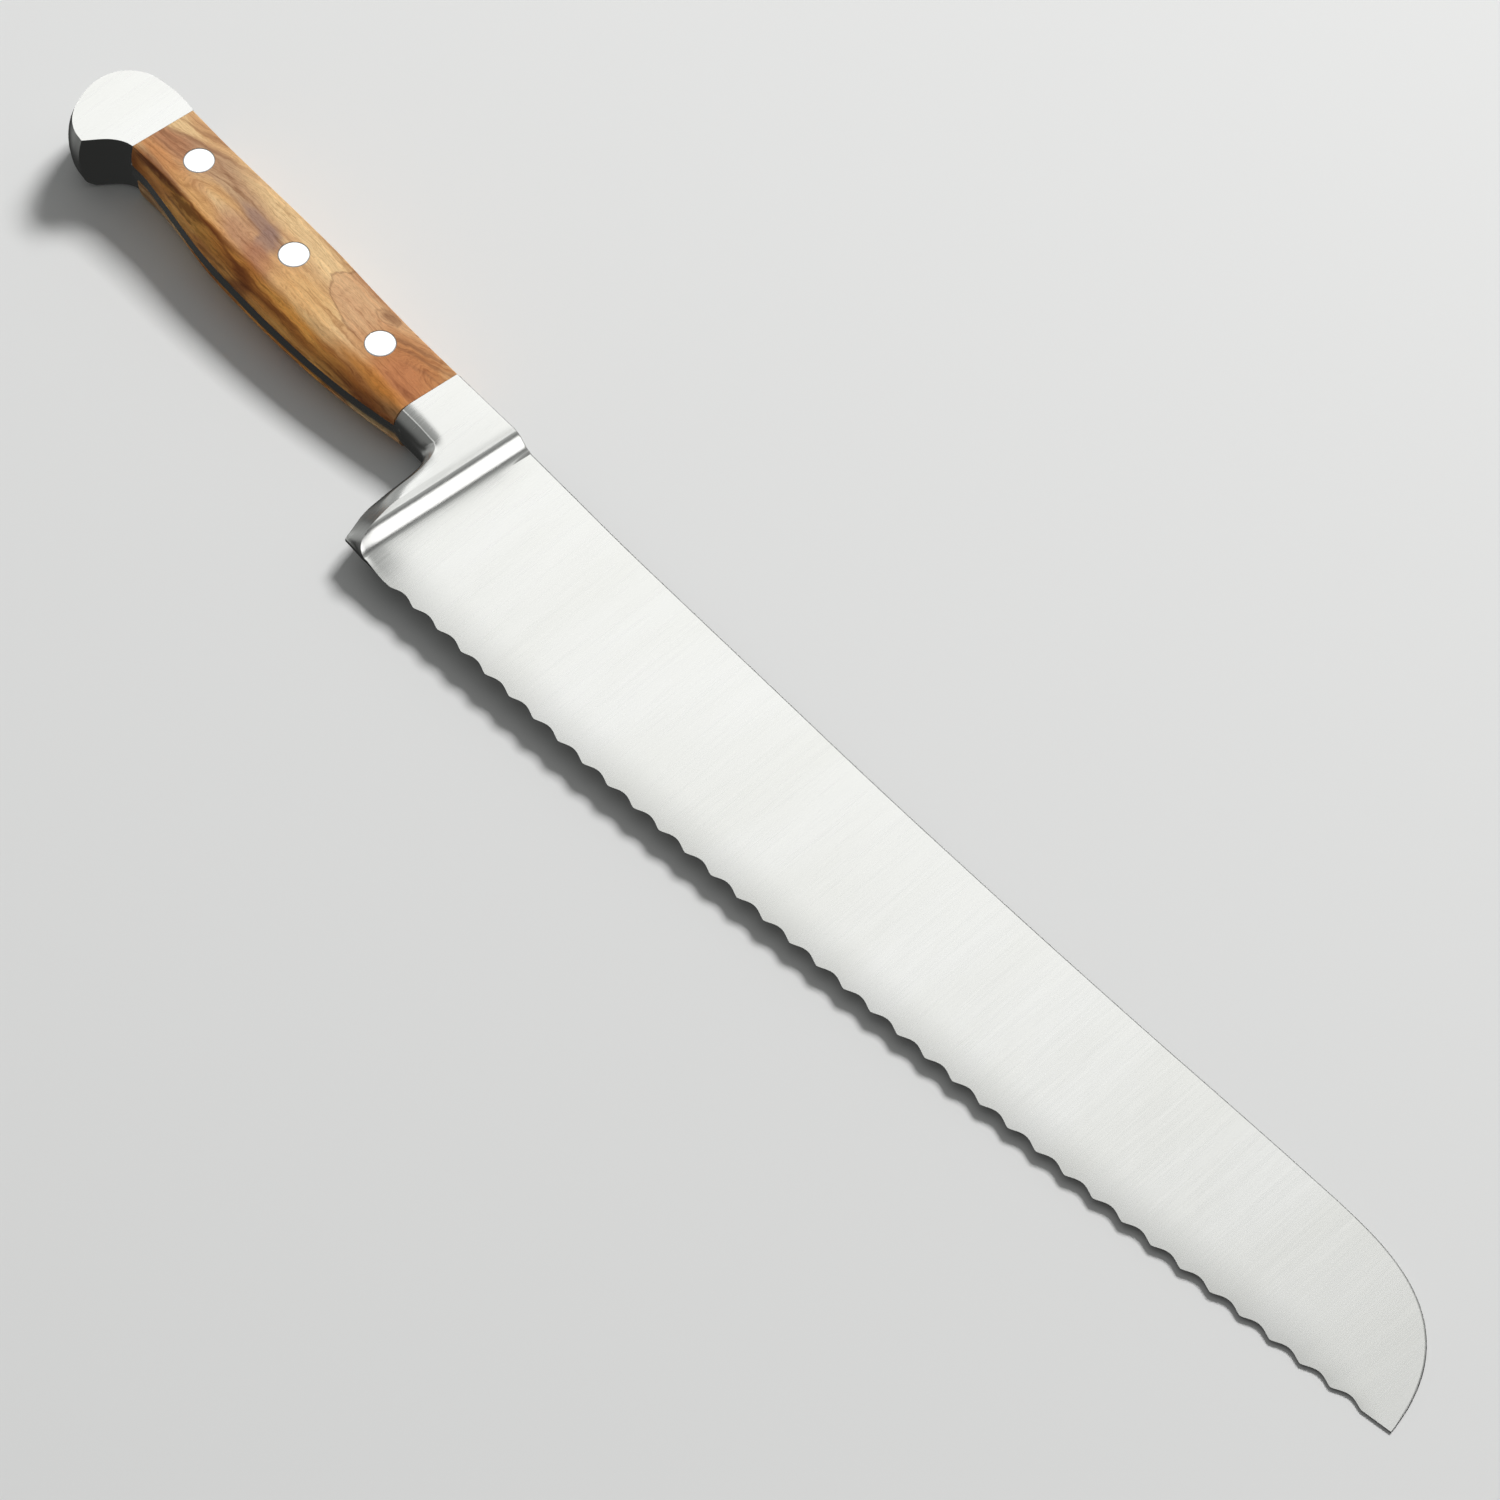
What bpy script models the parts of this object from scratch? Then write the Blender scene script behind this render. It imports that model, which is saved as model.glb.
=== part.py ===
"""Bread knife: a forged serrated blade with its bolster, tang and pommel in one piece, two wooden
handle scales, and three cutler's rivets, each a headed stem pressed into a headed tube.

The outlines are laid out in millimetres in two plan frames that share one origin, the heel's lower
corner on the blade's middle plane:
  blade frame   x from heel to tip along the chord of the edge, y towards the spine
  handle frame  u along the handle towards the tip, v towards the back, turned by HANDLE_ANGLE
z is the thickness, zero on the middle plane of the blade. The finished pieces are moved as one, so
that the origin is the bottom centre of the knife's bounding box, with the knife lying flat.
"""
import math

import bpy
import bmesh
from mathutils import Matrix, Vector

MM = 0.001
HANDLE_ANGLE = math.radians(5.0)
GAP = 0.3                 # clearance between pieces that touch

# Blade
SPINE = ((6.0, 46.85), (40.8, 43.9), (80.7, 41.35), (120.6, 38.85), (160.5, 36.85), (200.5, 35.3),
         (240.4, 34.25), (274.65, 33.2))
SPINE_STEPS = 14
NOSE_CENTRE = (274.65, -14.4)
NOSE_RADII = (46.4, 47.6)
NOSE_POWER = 2.9          # squarer than an ellipse, which has 2
NOSE_SLOPE = -0.056       # the spine's slope, carried into the nose
NOSE_STEPS = 16
HEEL_EDGE = ((4.7, -1.4), (8.0, -1.85))
TOOTH_LINE = ((11.3, -2.1), (62.0, -3.75), (112.0, -4.5), (162.6, -4.5), (212.0, -4.15),
              (254.6, -3.15), (290.0, -1.7), (312.4, -0.55))
TOOTH_COUNT = 37
TOOTH_DEPTH = 1.2
TOOTH_POWER = 1.4         # 1 gives pointed teeth, 2 gives rounded ones
TOOTH_STEPS = 6
EDGE_HALF = 0.4           # half thickness at the heel's edge
SPINE_TAPER = 0.0229      # half thickness gained per mm towards the spine
TIP_TAPER = 0.0005        # half thickness lost per mm towards the tip

# Bolster and finger guard
ROOT_U = 1.9              # where the blade's flat begins
STEP_U = -2.7             # front edge of the bolster's raised face
STEP_HEIGHT = 3.4
STEP_COLUMNS = (-2.7, -1.55, -0.4, 0.75, 1.9)
NECK_COLUMNS = (-23.9, -18.0)
NECK_START = -12.0
NECK_MIDDLE_V = 38.0
BACK_LINE = ((-23.9, 46.2), (-12.7, 46.6), (-3.3, 46.9), (2.0, 47.15))
BOTTOM_V = -0.85
# Each pair is a point on the rim of the raised face and the point below it on the middle plane,
# from the heel's corner up the guard, round the finger notch and along the neck.
GUARD_RIM = (((0.27, -0.85), (-5.4, -0.9)), ((-0.45, -0.2), (-5.9, 0.0)), ((-1.05, 0.9), (-6.3, 1.0)),
             ((-1.5, 2.6), (-7.0, 2.7)), ((-2.2, 4.8), (-7.9, 4.9)), ((-3.0, 7.2), (-8.6, 7.3)),
             ((-3.9, 10.0), (-9.15, 10.0)), ((-5.3, 12.5), (-9.6, 12.6)), ((-7.0, 14.6), (-10.1, 14.8)),
             ((-8.0, 17.5), (-10.5, 17.2)), ((-8.3, 21.5), (-10.8, 20.6)), ((-8.8, 25.6), (-11.1, 23.6)),
             ((-9.6, 27.9), (-11.8, 25.5)), ((-10.6, 29.2), (-12.8, 26.7)), ((-12.0, 29.9), (-14.2, 27.3)))
NECK_RIM = (((-23.9, 29.8), (-23.9, 27.2)), ((-18.0, 30.0), (-18.0, 27.4)))
HEEL_HALF = 0.5           # half thickness of the guard's thin rear edge
NECK_HALF = 2.0           # the same, where the neck meets the scales

# Handle
FRONT_U = -23.9           # where the scales meet the bolster
REAR_U = -126.7           # where the scales meet the pommel
HANDLE_HALF = ((-126.7, 8.5), (-100.0, 8.3), (-75.0, 7.9), (-50.0, 7.2), (-23.9, 6.2))
HANDLE_BACK = ((-126.7, 45.2), (-100.0, 45.4), (-75.0, 45.9), (-45.0, 45.6), (-23.9, 46.2))
HANDLE_BELLY = ((-126.7, 26.4), (-119.0, 26.3), (-104.6, 24.4), (-92.0, 23.0), (-76.0, 22.65),
                (-62.0, 22.9), (-48.0, 23.7), (-34.5, 25.3), (-23.9, 27.2))
HANDLE_CREASE = ((-126.7, 27.3), (-112.0, 27.7), (-97.0, 27.4), (-80.0, 27.9), (-66.0, 28.6),
                 (-50.0, 30.2), (-38.0, 31.0), (-30.0, 30.6), (-23.9, 29.8))
HANDLE_STATIONS = 15
TANG_HALF = 1.7
TANG_REACH = 4.0          # how far the tang runs on inside the bolster and the pommel
TANG_INSET = 1.5
SCALE_INNER = 2.0         # the scales' faces on the tang's side
BACK_ROUND = 1.0
BELLY_STRAIGHT = 3.6      # the belly side is upright up to this height

# Pommel
POMMEL_HALF = 8.5
POMMEL_RIM = ((-126.7, 45.2), (-132.6, 45.5), (-138.0, 45.0), (-142.6, 43.6), (-146.3, 41.0),
              (-148.5, 37.5), (-149.2, 33.7), (-148.6, 30.0), (-147.0, 26.3), (-144.6, 22.6),
              (-142.0, 20.4), (-139.3, 19.2), (-135.8, 18.7), (-134.7, 20.4), (-133.4, 22.4),
              (-131.9, 24.3), (-130.0, 25.9), (-128.3, 26.8), (-126.7, 27.2))
POMMEL_MIDDLE_V = 36.0
POMMEL_BLEND = 6.0        # how far from the wood the back's full bulge is reached
# Height of each ring from the right face to the left face, and its stretch along u and along v.
POMMEL_RINGS = ((8.5, 1.0, 1.0), (5.5, 1.06, 1.03), (2.0, 1.095, 1.05), (-2.0, 1.095, 1.05),
                (-5.0, 1.06, 1.035), (-7.2, 0.99, 0.98), (-8.5, 0.91, 0.89))

# Rivets
RIVET_CENTRES = (("front", -42.1, 37.3), ("middle", -75.8, 37.2), ("rear", -113.1, 37.0))
RIVET_HEAD_RADIUS = 3.85
RIVET_HEAD_HEIGHT = 2.6
RIVET_TUBE_RADIUS = 2.9
RIVET_STEM_RADIUS = 1.6
RIVET_SEGMENTS = 24

STEEL = ("steel", (0.80, 0.80, 0.78), 0.28, 1.0)
WOOD = ("olive_wood", (0.45, 0.22, 0.07), 0.45, 0.0)
RIVET_STEEL = ("rivet_steel", (0.88, 0.88, 0.88), 0.12, 1.0)


def clear_scene():
    """Empty the scene."""
    for item in list(bpy.data.objects):
        bpy.data.objects.remove(item, do_unlink=True)


def curve_value(points, x):
    """Height at x of a smooth curve through points, which are in order of x."""
    last = len(points) - 1
    slopes = []
    for i in range(last + 1):
        before = points[max(i - 1, 0)]
        after = points[min(i + 1, last)]
        slopes.append((after[1] - before[1]) / (after[0] - before[0]))
    i = 0
    while i < last - 1 and x > points[i + 1][0]:
        i += 1
    (x0, y0), (x1, y1) = points[i], points[i + 1]
    width = x1 - x0
    t = (x - x0) / width
    rise = (2 * t ** 3 - 3 * t ** 2 + 1) * y0 + (3 * t ** 2 - 2 * t ** 3) * y1
    return rise + width * ((t ** 3 - 2 * t ** 2 + t) * slopes[i] + (t ** 3 - t ** 2) * slopes[i + 1])


def spread(start, end, count):
    """count + 1 evenly spaced values from start to end."""
    return [start + (end - start) * i / count for i in range(count + 1)]


def to_blade(u, v):
    """Handle frame to blade frame."""
    cos, sin = math.cos(HANDLE_ANGLE), math.sin(HANDLE_ANGLE)
    return u * cos + v * sin, v * cos - u * sin


def blade_half(x, y):
    """Half thickness of the blade, which is a flat wedge."""
    return EDGE_HALF + SPINE_TAPER * (y + 1.5) - TIP_TAPER * x


def forging_half(u, v):
    """Half thickness of the neck, the guard and the step down to the blade."""
    if u < STEP_U:
        guard = blade_half(*to_blade(STEP_U, v)) + STEP_HEIGHT
        along = (STEP_U - u) / (STEP_U - FRONT_U)
        return guard + (HANDLE_HALF[-1][1] - guard) * along
    fall = (1 + math.cos(math.pi * (u - STEP_U) / (ROOT_U - STEP_U))) / 2
    return blade_half(*to_blade(u, v)) + STEP_HEIGHT * fall


def new_object(name, mesh, material, parent):
    """Link a finished mesh as a named object with its own material."""
    title, colour, roughness, metallic = material
    finish = bpy.data.materials.new(name + "_" + title)
    finish.use_nodes = True
    shader = finish.node_tree.nodes["Principled BSDF"]
    shader.inputs["Base Color"].default_value = (*colour, 1.0)
    shader.inputs["Roughness"].default_value = roughness
    shader.inputs["Metallic"].default_value = metallic
    mesh.materials.append(finish)
    made = bpy.data.objects.new(name, mesh)
    bpy.context.collection.objects.link(made)
    made.parent = parent
    return made


def mesh_from(name, bm):
    """Scale a millimetre bmesh to metres, face it outwards and return it as a mesh."""
    bmesh.ops.recalc_face_normals(bm, faces=bm.faces)
    bmesh.ops.scale(bm, vec=(MM, MM, MM), verts=bm.verts)
    mesh = bpy.data.meshes.new(name)
    bm.to_mesh(mesh)
    bm.free()
    return mesh


def loft(rings):
    """A closed solid through rings that have the same number of points."""
    bm = bmesh.new()
    rows = [[bm.verts.new(point) for point in ring] for ring in rings]
    for lower, upper in zip(rows, rows[1:]):
        for i, vert in enumerate(lower):
            j = (i + 1) % len(lower)
            bm.faces.new((vert, lower[j], upper[j], upper[i]))
    bm.faces.new(rows[0])
    bm.faces.new(rows[-1])
    return bm


def spine_points():
    """The spine from the bolster to the nose, then round the nose to the tip."""
    points = [(x, curve_value(SPINE, x)) for x in spread(SPINE[0][0], SPINE[-1][0], SPINE_STEPS)[1:]]
    (cx, cy), (a, b) = NOSE_CENTRE, NOSE_RADII
    drop = -cy - NOSE_SLOPE * a
    last = math.asin((drop / b) ** (NOSE_POWER / 2))
    for angle in spread(math.pi / 2, last, NOSE_STEPS)[1:]:
        across = a * math.cos(angle) ** (2 / NOSE_POWER)
        up = b * math.sin(angle) ** (2 / NOSE_POWER)
        points.append((cx + across, cy + up + NOSE_SLOPE * across))
    return points


def edge_points():
    """The serrated edge from the heel's flat to the last tooth near the tip."""
    first, last = TOOTH_LINE[0][0], TOOTH_LINE[-1][0]
    count = (TOOTH_COUNT - 1) * TOOTH_STEPS
    points = list(HEEL_EDGE)
    for i, x in enumerate(spread(first, last, count)):
        phase = math.pi * (i % TOOTH_STEPS) / TOOTH_STEPS
        points.append((x, curve_value(TOOTH_LINE, x) + TOOTH_DEPTH * math.sin(phase) ** TOOTH_POWER))
    return points


def guard_rows():
    """Rows of (u, v) points on the raised face, from the heel's edge line up to the knife's back."""
    rims = [rim for rim, _ in GUARD_RIM] + [(NECK_START, NECK_MIDDLE_V), (NECK_START, None)]
    rows = []
    for rim_u, v in rims:
        columns = [rim_u]
        for k, step_u in enumerate(STEP_COLUMNS, start=1):
            even = rim_u + (ROOT_U - rim_u) * k / len(STEP_COLUMNS)
            columns.append(max(step_u, even))
        rows.append([(u, curve_value(BACK_LINE, u) if v is None else v) for u in columns])
    return rows


def forged_body():
    """Neck, guard, step and blade: the right face, its mirror image, and the walls between them."""
    bm = bmesh.new()

    def pair(x, y, z):
        return bm.verts.new((x, y, z)), bm.verts.new((x, y, -z))

    def raised(u, v):
        return pair(*to_blade(u, v), forging_half(u, v))

    def both(*verts):
        for side in (0, 1):
            bm.faces.new([vert[side] for vert in verts])

    def wall(first, second):
        bm.faces.new((first[0], second[0], second[1], first[1]))

    grid = [[raised(u, v) for u, v in row] for row in guard_rows()]
    for lower, upper in zip(grid, grid[1:]):
        for k in range(len(STEP_COLUMNS)):
            both(lower[k], lower[k + 1], upper[k + 1], upper[k])

    # The neck joins the three upper rows.
    rim_row = len(GUARD_RIM) - 1
    neck = []
    for (rim, _), u in zip(NECK_RIM, NECK_COLUMNS):
        column = (rim, (u, NECK_MIDDLE_V), (u, curve_value(BACK_LINE, u)))
        neck.append([raised(*point) for point in column])
    neck.append([grid[rim_row + i][0] for i in range(3)])
    for column, following in zip(neck, neck[1:]):
        for i in range(2):
            both(column[i], following[i], following[i + 1], column[i + 1])

    # The blade's flat face, bounded by the root, the spine and nose, and the edge.
    spine = [pair(x, y, blade_half(x, y)) for x, y in spine_points()]
    edge = [pair(x, y, blade_half(x, y)) for x, y in edge_points()]
    root = [row[-1] for row in grid]
    both(*root, *spine, *reversed(edge))

    # Upright walls: the heel and the teeth, then the spine and the back of the guard and neck.
    lower_line = grid[0] + edge + list(reversed(spine)) + list(reversed(grid[-1]))
    back_line = [grid[-1][0]] + [column[2] for column in reversed(neck[:-1])]
    for first, second in zip(lower_line, lower_line[1:]):
        wall(first, second)
    for first, second in zip(back_line, back_line[1:]):
        wall(first, second)

    # The slanting wall from the rim down to the thin rear edge, from the heel to the handle.
    rims = [row[0] for row in grid[:len(GUARD_RIM)]] + [neck[1][0], neck[0][0]]
    feet = [foot for _, foot in GUARD_RIM] + [NECK_RIM[1][1], NECK_RIM[0][1]]
    middle = []
    for i, (u, v) in enumerate(feet):
        share = min(i / (len(GUARD_RIM) - 1), 1.0)
        middle.append(pair(*to_blade(u, v), HEEL_HALF + (NECK_HALF - HEEL_HALF) * share))
    for i in range(len(rims) - 1):
        both(rims[i], rims[i + 1], middle[i + 1], middle[i])
        wall(middle[i], middle[i + 1])
    bm.faces.new((rims[0][0], middle[0][0], middle[0][1], rims[0][1]))

    # The shoulder that the scales meet.
    shoulder = [neck[0][2], neck[0][1], rims[-1], middle[-1]]
    bm.faces.new([vert[0] for vert in shoulder] + [vert[1] for vert in reversed(shoulder)])
    return bm


def handle_sections(start, end, count):
    """Stations along the handle with its half height, back, crease and belly."""
    for u in spread(start, end, count):
        yield u, [curve_value(line, u) for line in (HANDLE_HALF, HANDLE_BACK, HANDLE_CREASE, HANDLE_BELLY)]


def tang_body():
    """The flat tang between the scales, running on inside the pommel and the bolster."""
    middle = [(u, belly, back) for u, (_, back, _, belly) in
              handle_sections(REAR_U, FRONT_U, HANDLE_STATIONS)]
    stations = []
    for (u, belly, back), reach in ((middle[0], -TANG_REACH), (middle[-1], TANG_REACH)):
        drawn_in = (belly + TANG_INSET, back - TANG_INSET)
        ends = [(u + reach, *drawn_in), (u + math.copysign(0.01, reach), *drawn_in)]
        stations.append(ends)
    outline = stations[0] + middle + stations[1][::-1]
    lower = [to_blade(u, low) for u, low, _ in outline]
    upper = [to_blade(u, high) for u, _, high in reversed(outline)]
    return loft([[(x, y, z) for x, y in lower + upper] for z in (-TANG_HALF, TANG_HALF)])


def pommel_body():
    """The pommel: rings of one outline that bulge at mid height and draw in at the left face."""
    rings = []
    for z, stretch_u, stretch_v in POMMEL_RINGS:
        ring = []
        for u, v in POMMEL_RIM:
            blend = min(1.0, (REAR_U - u) / POMMEL_BLEND) if v > POMMEL_MIDDLE_V else 1.0
            grown_u = REAR_U + (u - REAR_U) * stretch_u
            grown_v = POMMEL_MIDDLE_V + (v - POMMEL_MIDDLE_V) * (1 + (stretch_v - 1) * blend)
            ring.append((*to_blade(grown_u, grown_v), z))
        rings.append(ring)
    return loft(rings)


def scale_body(side):
    """One wooden scale; side is 1 for the right scale and -1 for the left one."""
    rings = []
    for u, (half, back, crease, belly) in handle_sections(REAR_U + GAP, FRONT_U - GAP, HANDLE_STATIONS):
        waist = BELLY_STRAIGHT + (half - BELLY_STRAIGHT) * 0.55
        section = ((back, SCALE_INNER), (back, half - BACK_ROUND),
                   (back - BACK_ROUND * 0.3, half - BACK_ROUND * 0.3), (back - BACK_ROUND, half),
                   (crease, half), (belly + (crease - belly) * 0.38, waist),
                   (belly, BELLY_STRAIGHT), (belly, SCALE_INNER))
        rings.append([(*to_blade(u, v), side * z) for v, z in section])
    return loft(rings)


def cutter(name, u, v, radius, low, high):
    """An upright cylinder, in metres, used to cut a hole and then removed."""
    bm = bmesh.new()
    place = Matrix.Translation((*to_blade(u, v), (low + high) / 2))
    bmesh.ops.create_cone(bm, cap_ends=True, segments=RIVET_SEGMENTS, radius1=radius, radius2=radius,
                          depth=high - low, matrix=place)
    made = bpy.data.objects.new(name, mesh_from(name, bm))
    made.hide_render = True
    made.display_type = "WIRE"
    bpy.context.collection.objects.link(made)
    return made


def combine(target, operation, tool):
    """Apply one Boolean to the target and remove the tool."""
    modifier = target.modifiers.new(operation.lower(), "BOOLEAN")
    modifier.operation = operation
    modifier.solver = "EXACT"
    modifier.object = tool
    bpy.context.view_layer.update()
    graph = bpy.context.evaluated_depsgraph_get()
    result = bpy.data.meshes.new_from_object(target.evaluated_get(graph), depsgraph=graph)
    target.modifiers.clear()
    target.data = result
    bpy.data.objects.remove(tool, do_unlink=True)


def rivet_height(u, v):
    """Height of a rivet's flat head, level with the scale at the head's lower side."""
    return curve_value(HANDLE_HALF, u + RIVET_HEAD_RADIUS)


def turned(name, u, v, profile):
    """A turned solid about an upright axis at (u, v); profile is (radius, z), starting and ending at 0."""
    bm = bmesh.new()
    x, y = to_blade(u, v)
    rows = []
    for radius, z in profile:
        if radius == 0:
            rows.append([bm.verts.new((x, y, z))])
            continue
        turns = [2 * math.pi * i / RIVET_SEGMENTS for i in range(RIVET_SEGMENTS)]
        rows.append([bm.verts.new((x + radius * math.cos(t), y + radius * math.sin(t), z)) for t in turns])
    for low, high in zip(rows, rows[1:]):
        for i in range(RIVET_SEGMENTS):
            j = (i + 1) % RIVET_SEGMENTS
            corners = [low[i % len(low)], low[j % len(low)], high[j % len(high)], high[i % len(high)]]
            bm.faces.new(list(dict.fromkeys(corners)))
    return mesh_from(name, bm)


def make_forging(parent):
    """Blade, bolster, tang and pommel as one forged piece, with three rivet holes in the tang."""
    made = new_object("forged_blade", mesh_from("forged_blade", forged_body()), STEEL, parent)
    for name, body in (("tang", tang_body()), ("pommel", pommel_body())):
        tool = bpy.data.objects.new(name, mesh_from(name, body))
        bpy.context.collection.objects.link(tool)
        combine(made, "UNION", tool)
    for name, u, v in RIVET_CENTRES:
        hole = cutter("hole_" + name, u, v, RIVET_TUBE_RADIUS + GAP, -TANG_HALF - 1, TANG_HALF + 1)
        combine(made, "DIFFERENCE", hole)
    return made


def make_scale(name, side, parent):
    """A scale with a stepped hole for each rivet."""
    made = new_object(name, mesh_from(name, scale_body(side)), WOOD, parent)
    for place, u, v in RIVET_CENTRES:
        top = rivet_height(u, v)
        shank = sorted((side * (SCALE_INNER - 1), side * (top + 2)))
        head = sorted((side * (top - RIVET_HEAD_HEIGHT - GAP), side * (top + 2)))
        combine(made, "DIFFERENCE", cutter("shank_" + place, u, v, RIVET_TUBE_RADIUS + GAP, *shank))
        combine(made, "DIFFERENCE", cutter("head_" + place, u, v, RIVET_HEAD_RADIUS + GAP, *head))
    return made


def make_rivet(place, u, v, parent):
    """A rivet in two pieces: the tube from the right side and the stem from the left side."""
    top = rivet_height(u, v)
    neck = top - RIVET_HEAD_HEIGHT
    meet = -neck + GAP
    bore = RIVET_STEM_RADIUS + GAP
    tube = ((0, top), (RIVET_HEAD_RADIUS, top), (RIVET_HEAD_RADIUS, neck), (RIVET_TUBE_RADIUS, neck),
            (RIVET_TUBE_RADIUS, meet), (bore, meet), (bore, neck), (0, neck))
    stem = ((0, neck - GAP), (RIVET_STEM_RADIUS, neck - GAP), (RIVET_STEM_RADIUS, -neck),
            (RIVET_HEAD_RADIUS, -neck), (RIVET_HEAD_RADIUS, -top), (0, -top))
    for kind, profile in (("tube", tube), ("stem", stem)):
        name = "rivet_" + place + "_" + kind
        made = new_object(name, turned(name, u, v, profile), RIVET_STEEL, parent)
        smooth(made)


def smooth(item, angle=35.0):
    """Smooth shading, with the edges over the angle kept sharp."""
    item.data.shade_smooth()
    item.data.set_sharp_from_angle(angle=math.radians(angle))


def place_on_origin(pieces, parent):
    """Move the whole knife so that the origin is the bottom centre of its bounding box."""
    corners = [vert.co for piece in pieces for vert in piece.data.vertices]
    low = Vector([min(co[i] for co in corners) for i in range(3)])
    high = Vector([max(co[i] for co in corners) for i in range(3)])
    parent.location = (-(low.x + high.x) / 2, -(low.y + high.y) / 2, -low.z)


def build_knife():
    """Build every piece and set the knife down on its origin."""
    clear_scene()
    parent = bpy.data.objects.new("knife_origin", None)
    bpy.context.collection.objects.link(parent)
    forging = make_forging(parent)
    scales = [make_scale("right_scale", 1, parent), make_scale("left_scale", -1, parent)]
    for piece in (forging, *scales):
        smooth(piece)
    for place, u, v in RIVET_CENTRES:
        make_rivet(place, u, v, parent)
    pieces = [item for item in bpy.data.objects if item.type == "MESH"]
    place_on_origin(pieces, parent)
    bpy.context.view_layer.update()


build_knife()
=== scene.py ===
"""Looks of the bread knife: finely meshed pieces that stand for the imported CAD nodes, their
materials, the floor, the light and the camera.

Shapes are laid out in millimetres in the same two plan frames as the CAD, which share one origin,
the heel's lower corner on the blade's middle plane:
  blade frame   x from heel to tip along the chord of the edge, y towards the spine
  handle frame  u along the handle towards the tip, v towards the back, turned by HANDLE_ANGLE
z is the thickness, zero on the middle plane of the blade, +z on the right face.
"""
import math

import bmesh
import bpy
import numpy as np
from mathutils import Matrix, Vector


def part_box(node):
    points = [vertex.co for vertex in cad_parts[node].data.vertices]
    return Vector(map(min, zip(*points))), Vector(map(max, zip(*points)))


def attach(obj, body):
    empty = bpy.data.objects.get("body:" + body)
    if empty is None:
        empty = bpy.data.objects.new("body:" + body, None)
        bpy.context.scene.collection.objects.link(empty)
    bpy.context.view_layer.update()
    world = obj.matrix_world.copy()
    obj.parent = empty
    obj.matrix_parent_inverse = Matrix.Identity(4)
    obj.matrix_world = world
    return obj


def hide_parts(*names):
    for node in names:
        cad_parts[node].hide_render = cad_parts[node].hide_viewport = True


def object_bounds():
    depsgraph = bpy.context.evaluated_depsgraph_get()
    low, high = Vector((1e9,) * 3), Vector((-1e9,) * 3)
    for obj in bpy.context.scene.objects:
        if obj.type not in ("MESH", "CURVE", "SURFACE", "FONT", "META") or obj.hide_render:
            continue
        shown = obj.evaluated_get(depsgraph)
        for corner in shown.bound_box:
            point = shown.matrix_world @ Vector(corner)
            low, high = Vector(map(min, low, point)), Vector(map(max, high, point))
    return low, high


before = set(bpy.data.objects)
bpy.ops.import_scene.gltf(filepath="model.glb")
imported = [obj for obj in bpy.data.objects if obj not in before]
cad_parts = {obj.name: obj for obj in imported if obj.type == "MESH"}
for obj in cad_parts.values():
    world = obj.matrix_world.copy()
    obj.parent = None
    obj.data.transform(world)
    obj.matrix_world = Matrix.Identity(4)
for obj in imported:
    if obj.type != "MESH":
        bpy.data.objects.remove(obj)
CAD_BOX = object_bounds()

MM = 0.001
WELD_REACH = 0.000002  # in metres
HANDLE_ANGLE = math.radians(5.0)
COS, SIN = math.cos(HANDLE_ANGLE), math.sin(HANDLE_ANGLE)

# Blade
SPINE = (
    (6, 46.85), (20.85, 45.6), (40.8, 43.9), (60.75, 42.6), (80.7, 41.35), (100.7, 40.1),
    (120.6, 38.85), (140.6, 37.75), (160.5, 36.85), (180.5, 36), (200.5, 35.3),
    (220.4, 34.7), (240.4, 34.25), (260.4, 33.7), (274.65, 33.2))
# The nose is a rounded quarter between the spine and the tip, tilted a little.
NOSE_CENTRE = (274.65, -14.4)
NOSE_RADII = (46.4, 47.6)
NOSE_POWER = 2.9
NOSE_SLOPE = -0.056
NOSE_COLUMNS = 40
HEEL_EDGE = ((1.82, -1.02), (4.7, -1.45), (8, -1.9), (11.3, -2.1))
HEEL_COLUMNS = 12
TOOTH_LINE = (
    (11.3, -2.1), (28.4, -2.5), (45, -3.2), (62, -3.75), (79, -4.25),
    (95.7, -4.4), (129, -4.55), (162.6, -4.5), (196, -4.3), (229.7, -3.9),
    (254.6, -3.15), (279.5, -2.15), (296.4, -1.5), (304.7, -1.1), (312.4, -0.55))
TOOTH_COUNT = 37
TOOTH_DEPTHS = ((11.3, 1.05), (90, 1.2), (312.4, 1.27))
TOOTH_POWER = 1.35
TOOTH_STEPS = 12
EDGE_HALF = 0.4  # half thickness at EDGE_Y
EDGE_Y = -1.5
EDGE_LEFT = 0.1  # thickness left at the ground edge
GROUND_WIDTH = 2.0  # width of the bevel ground into the left face along the teeth
GROUND_START = (8.0, 14.0)
TIP_FADE = 8  # how steeply that bevel fades out at the very tip
CONVEX_WIDTH = 11.0  # the face is slightly convex this far from the teeth's chord
CONVEX_DROP = 0.26
CONVEX_FULL_U = 9.0
HEEL_DROP = 0.35  # further fall of the face at the heel's corner
HEEL_REACH = 30.0
FULL_HEIGHT = 34.0  # where the blade is narrower than this, its rows draw together
ROUND_HEIGHT = 6.0  # and where it is narrower than this, its edges are less round
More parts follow.
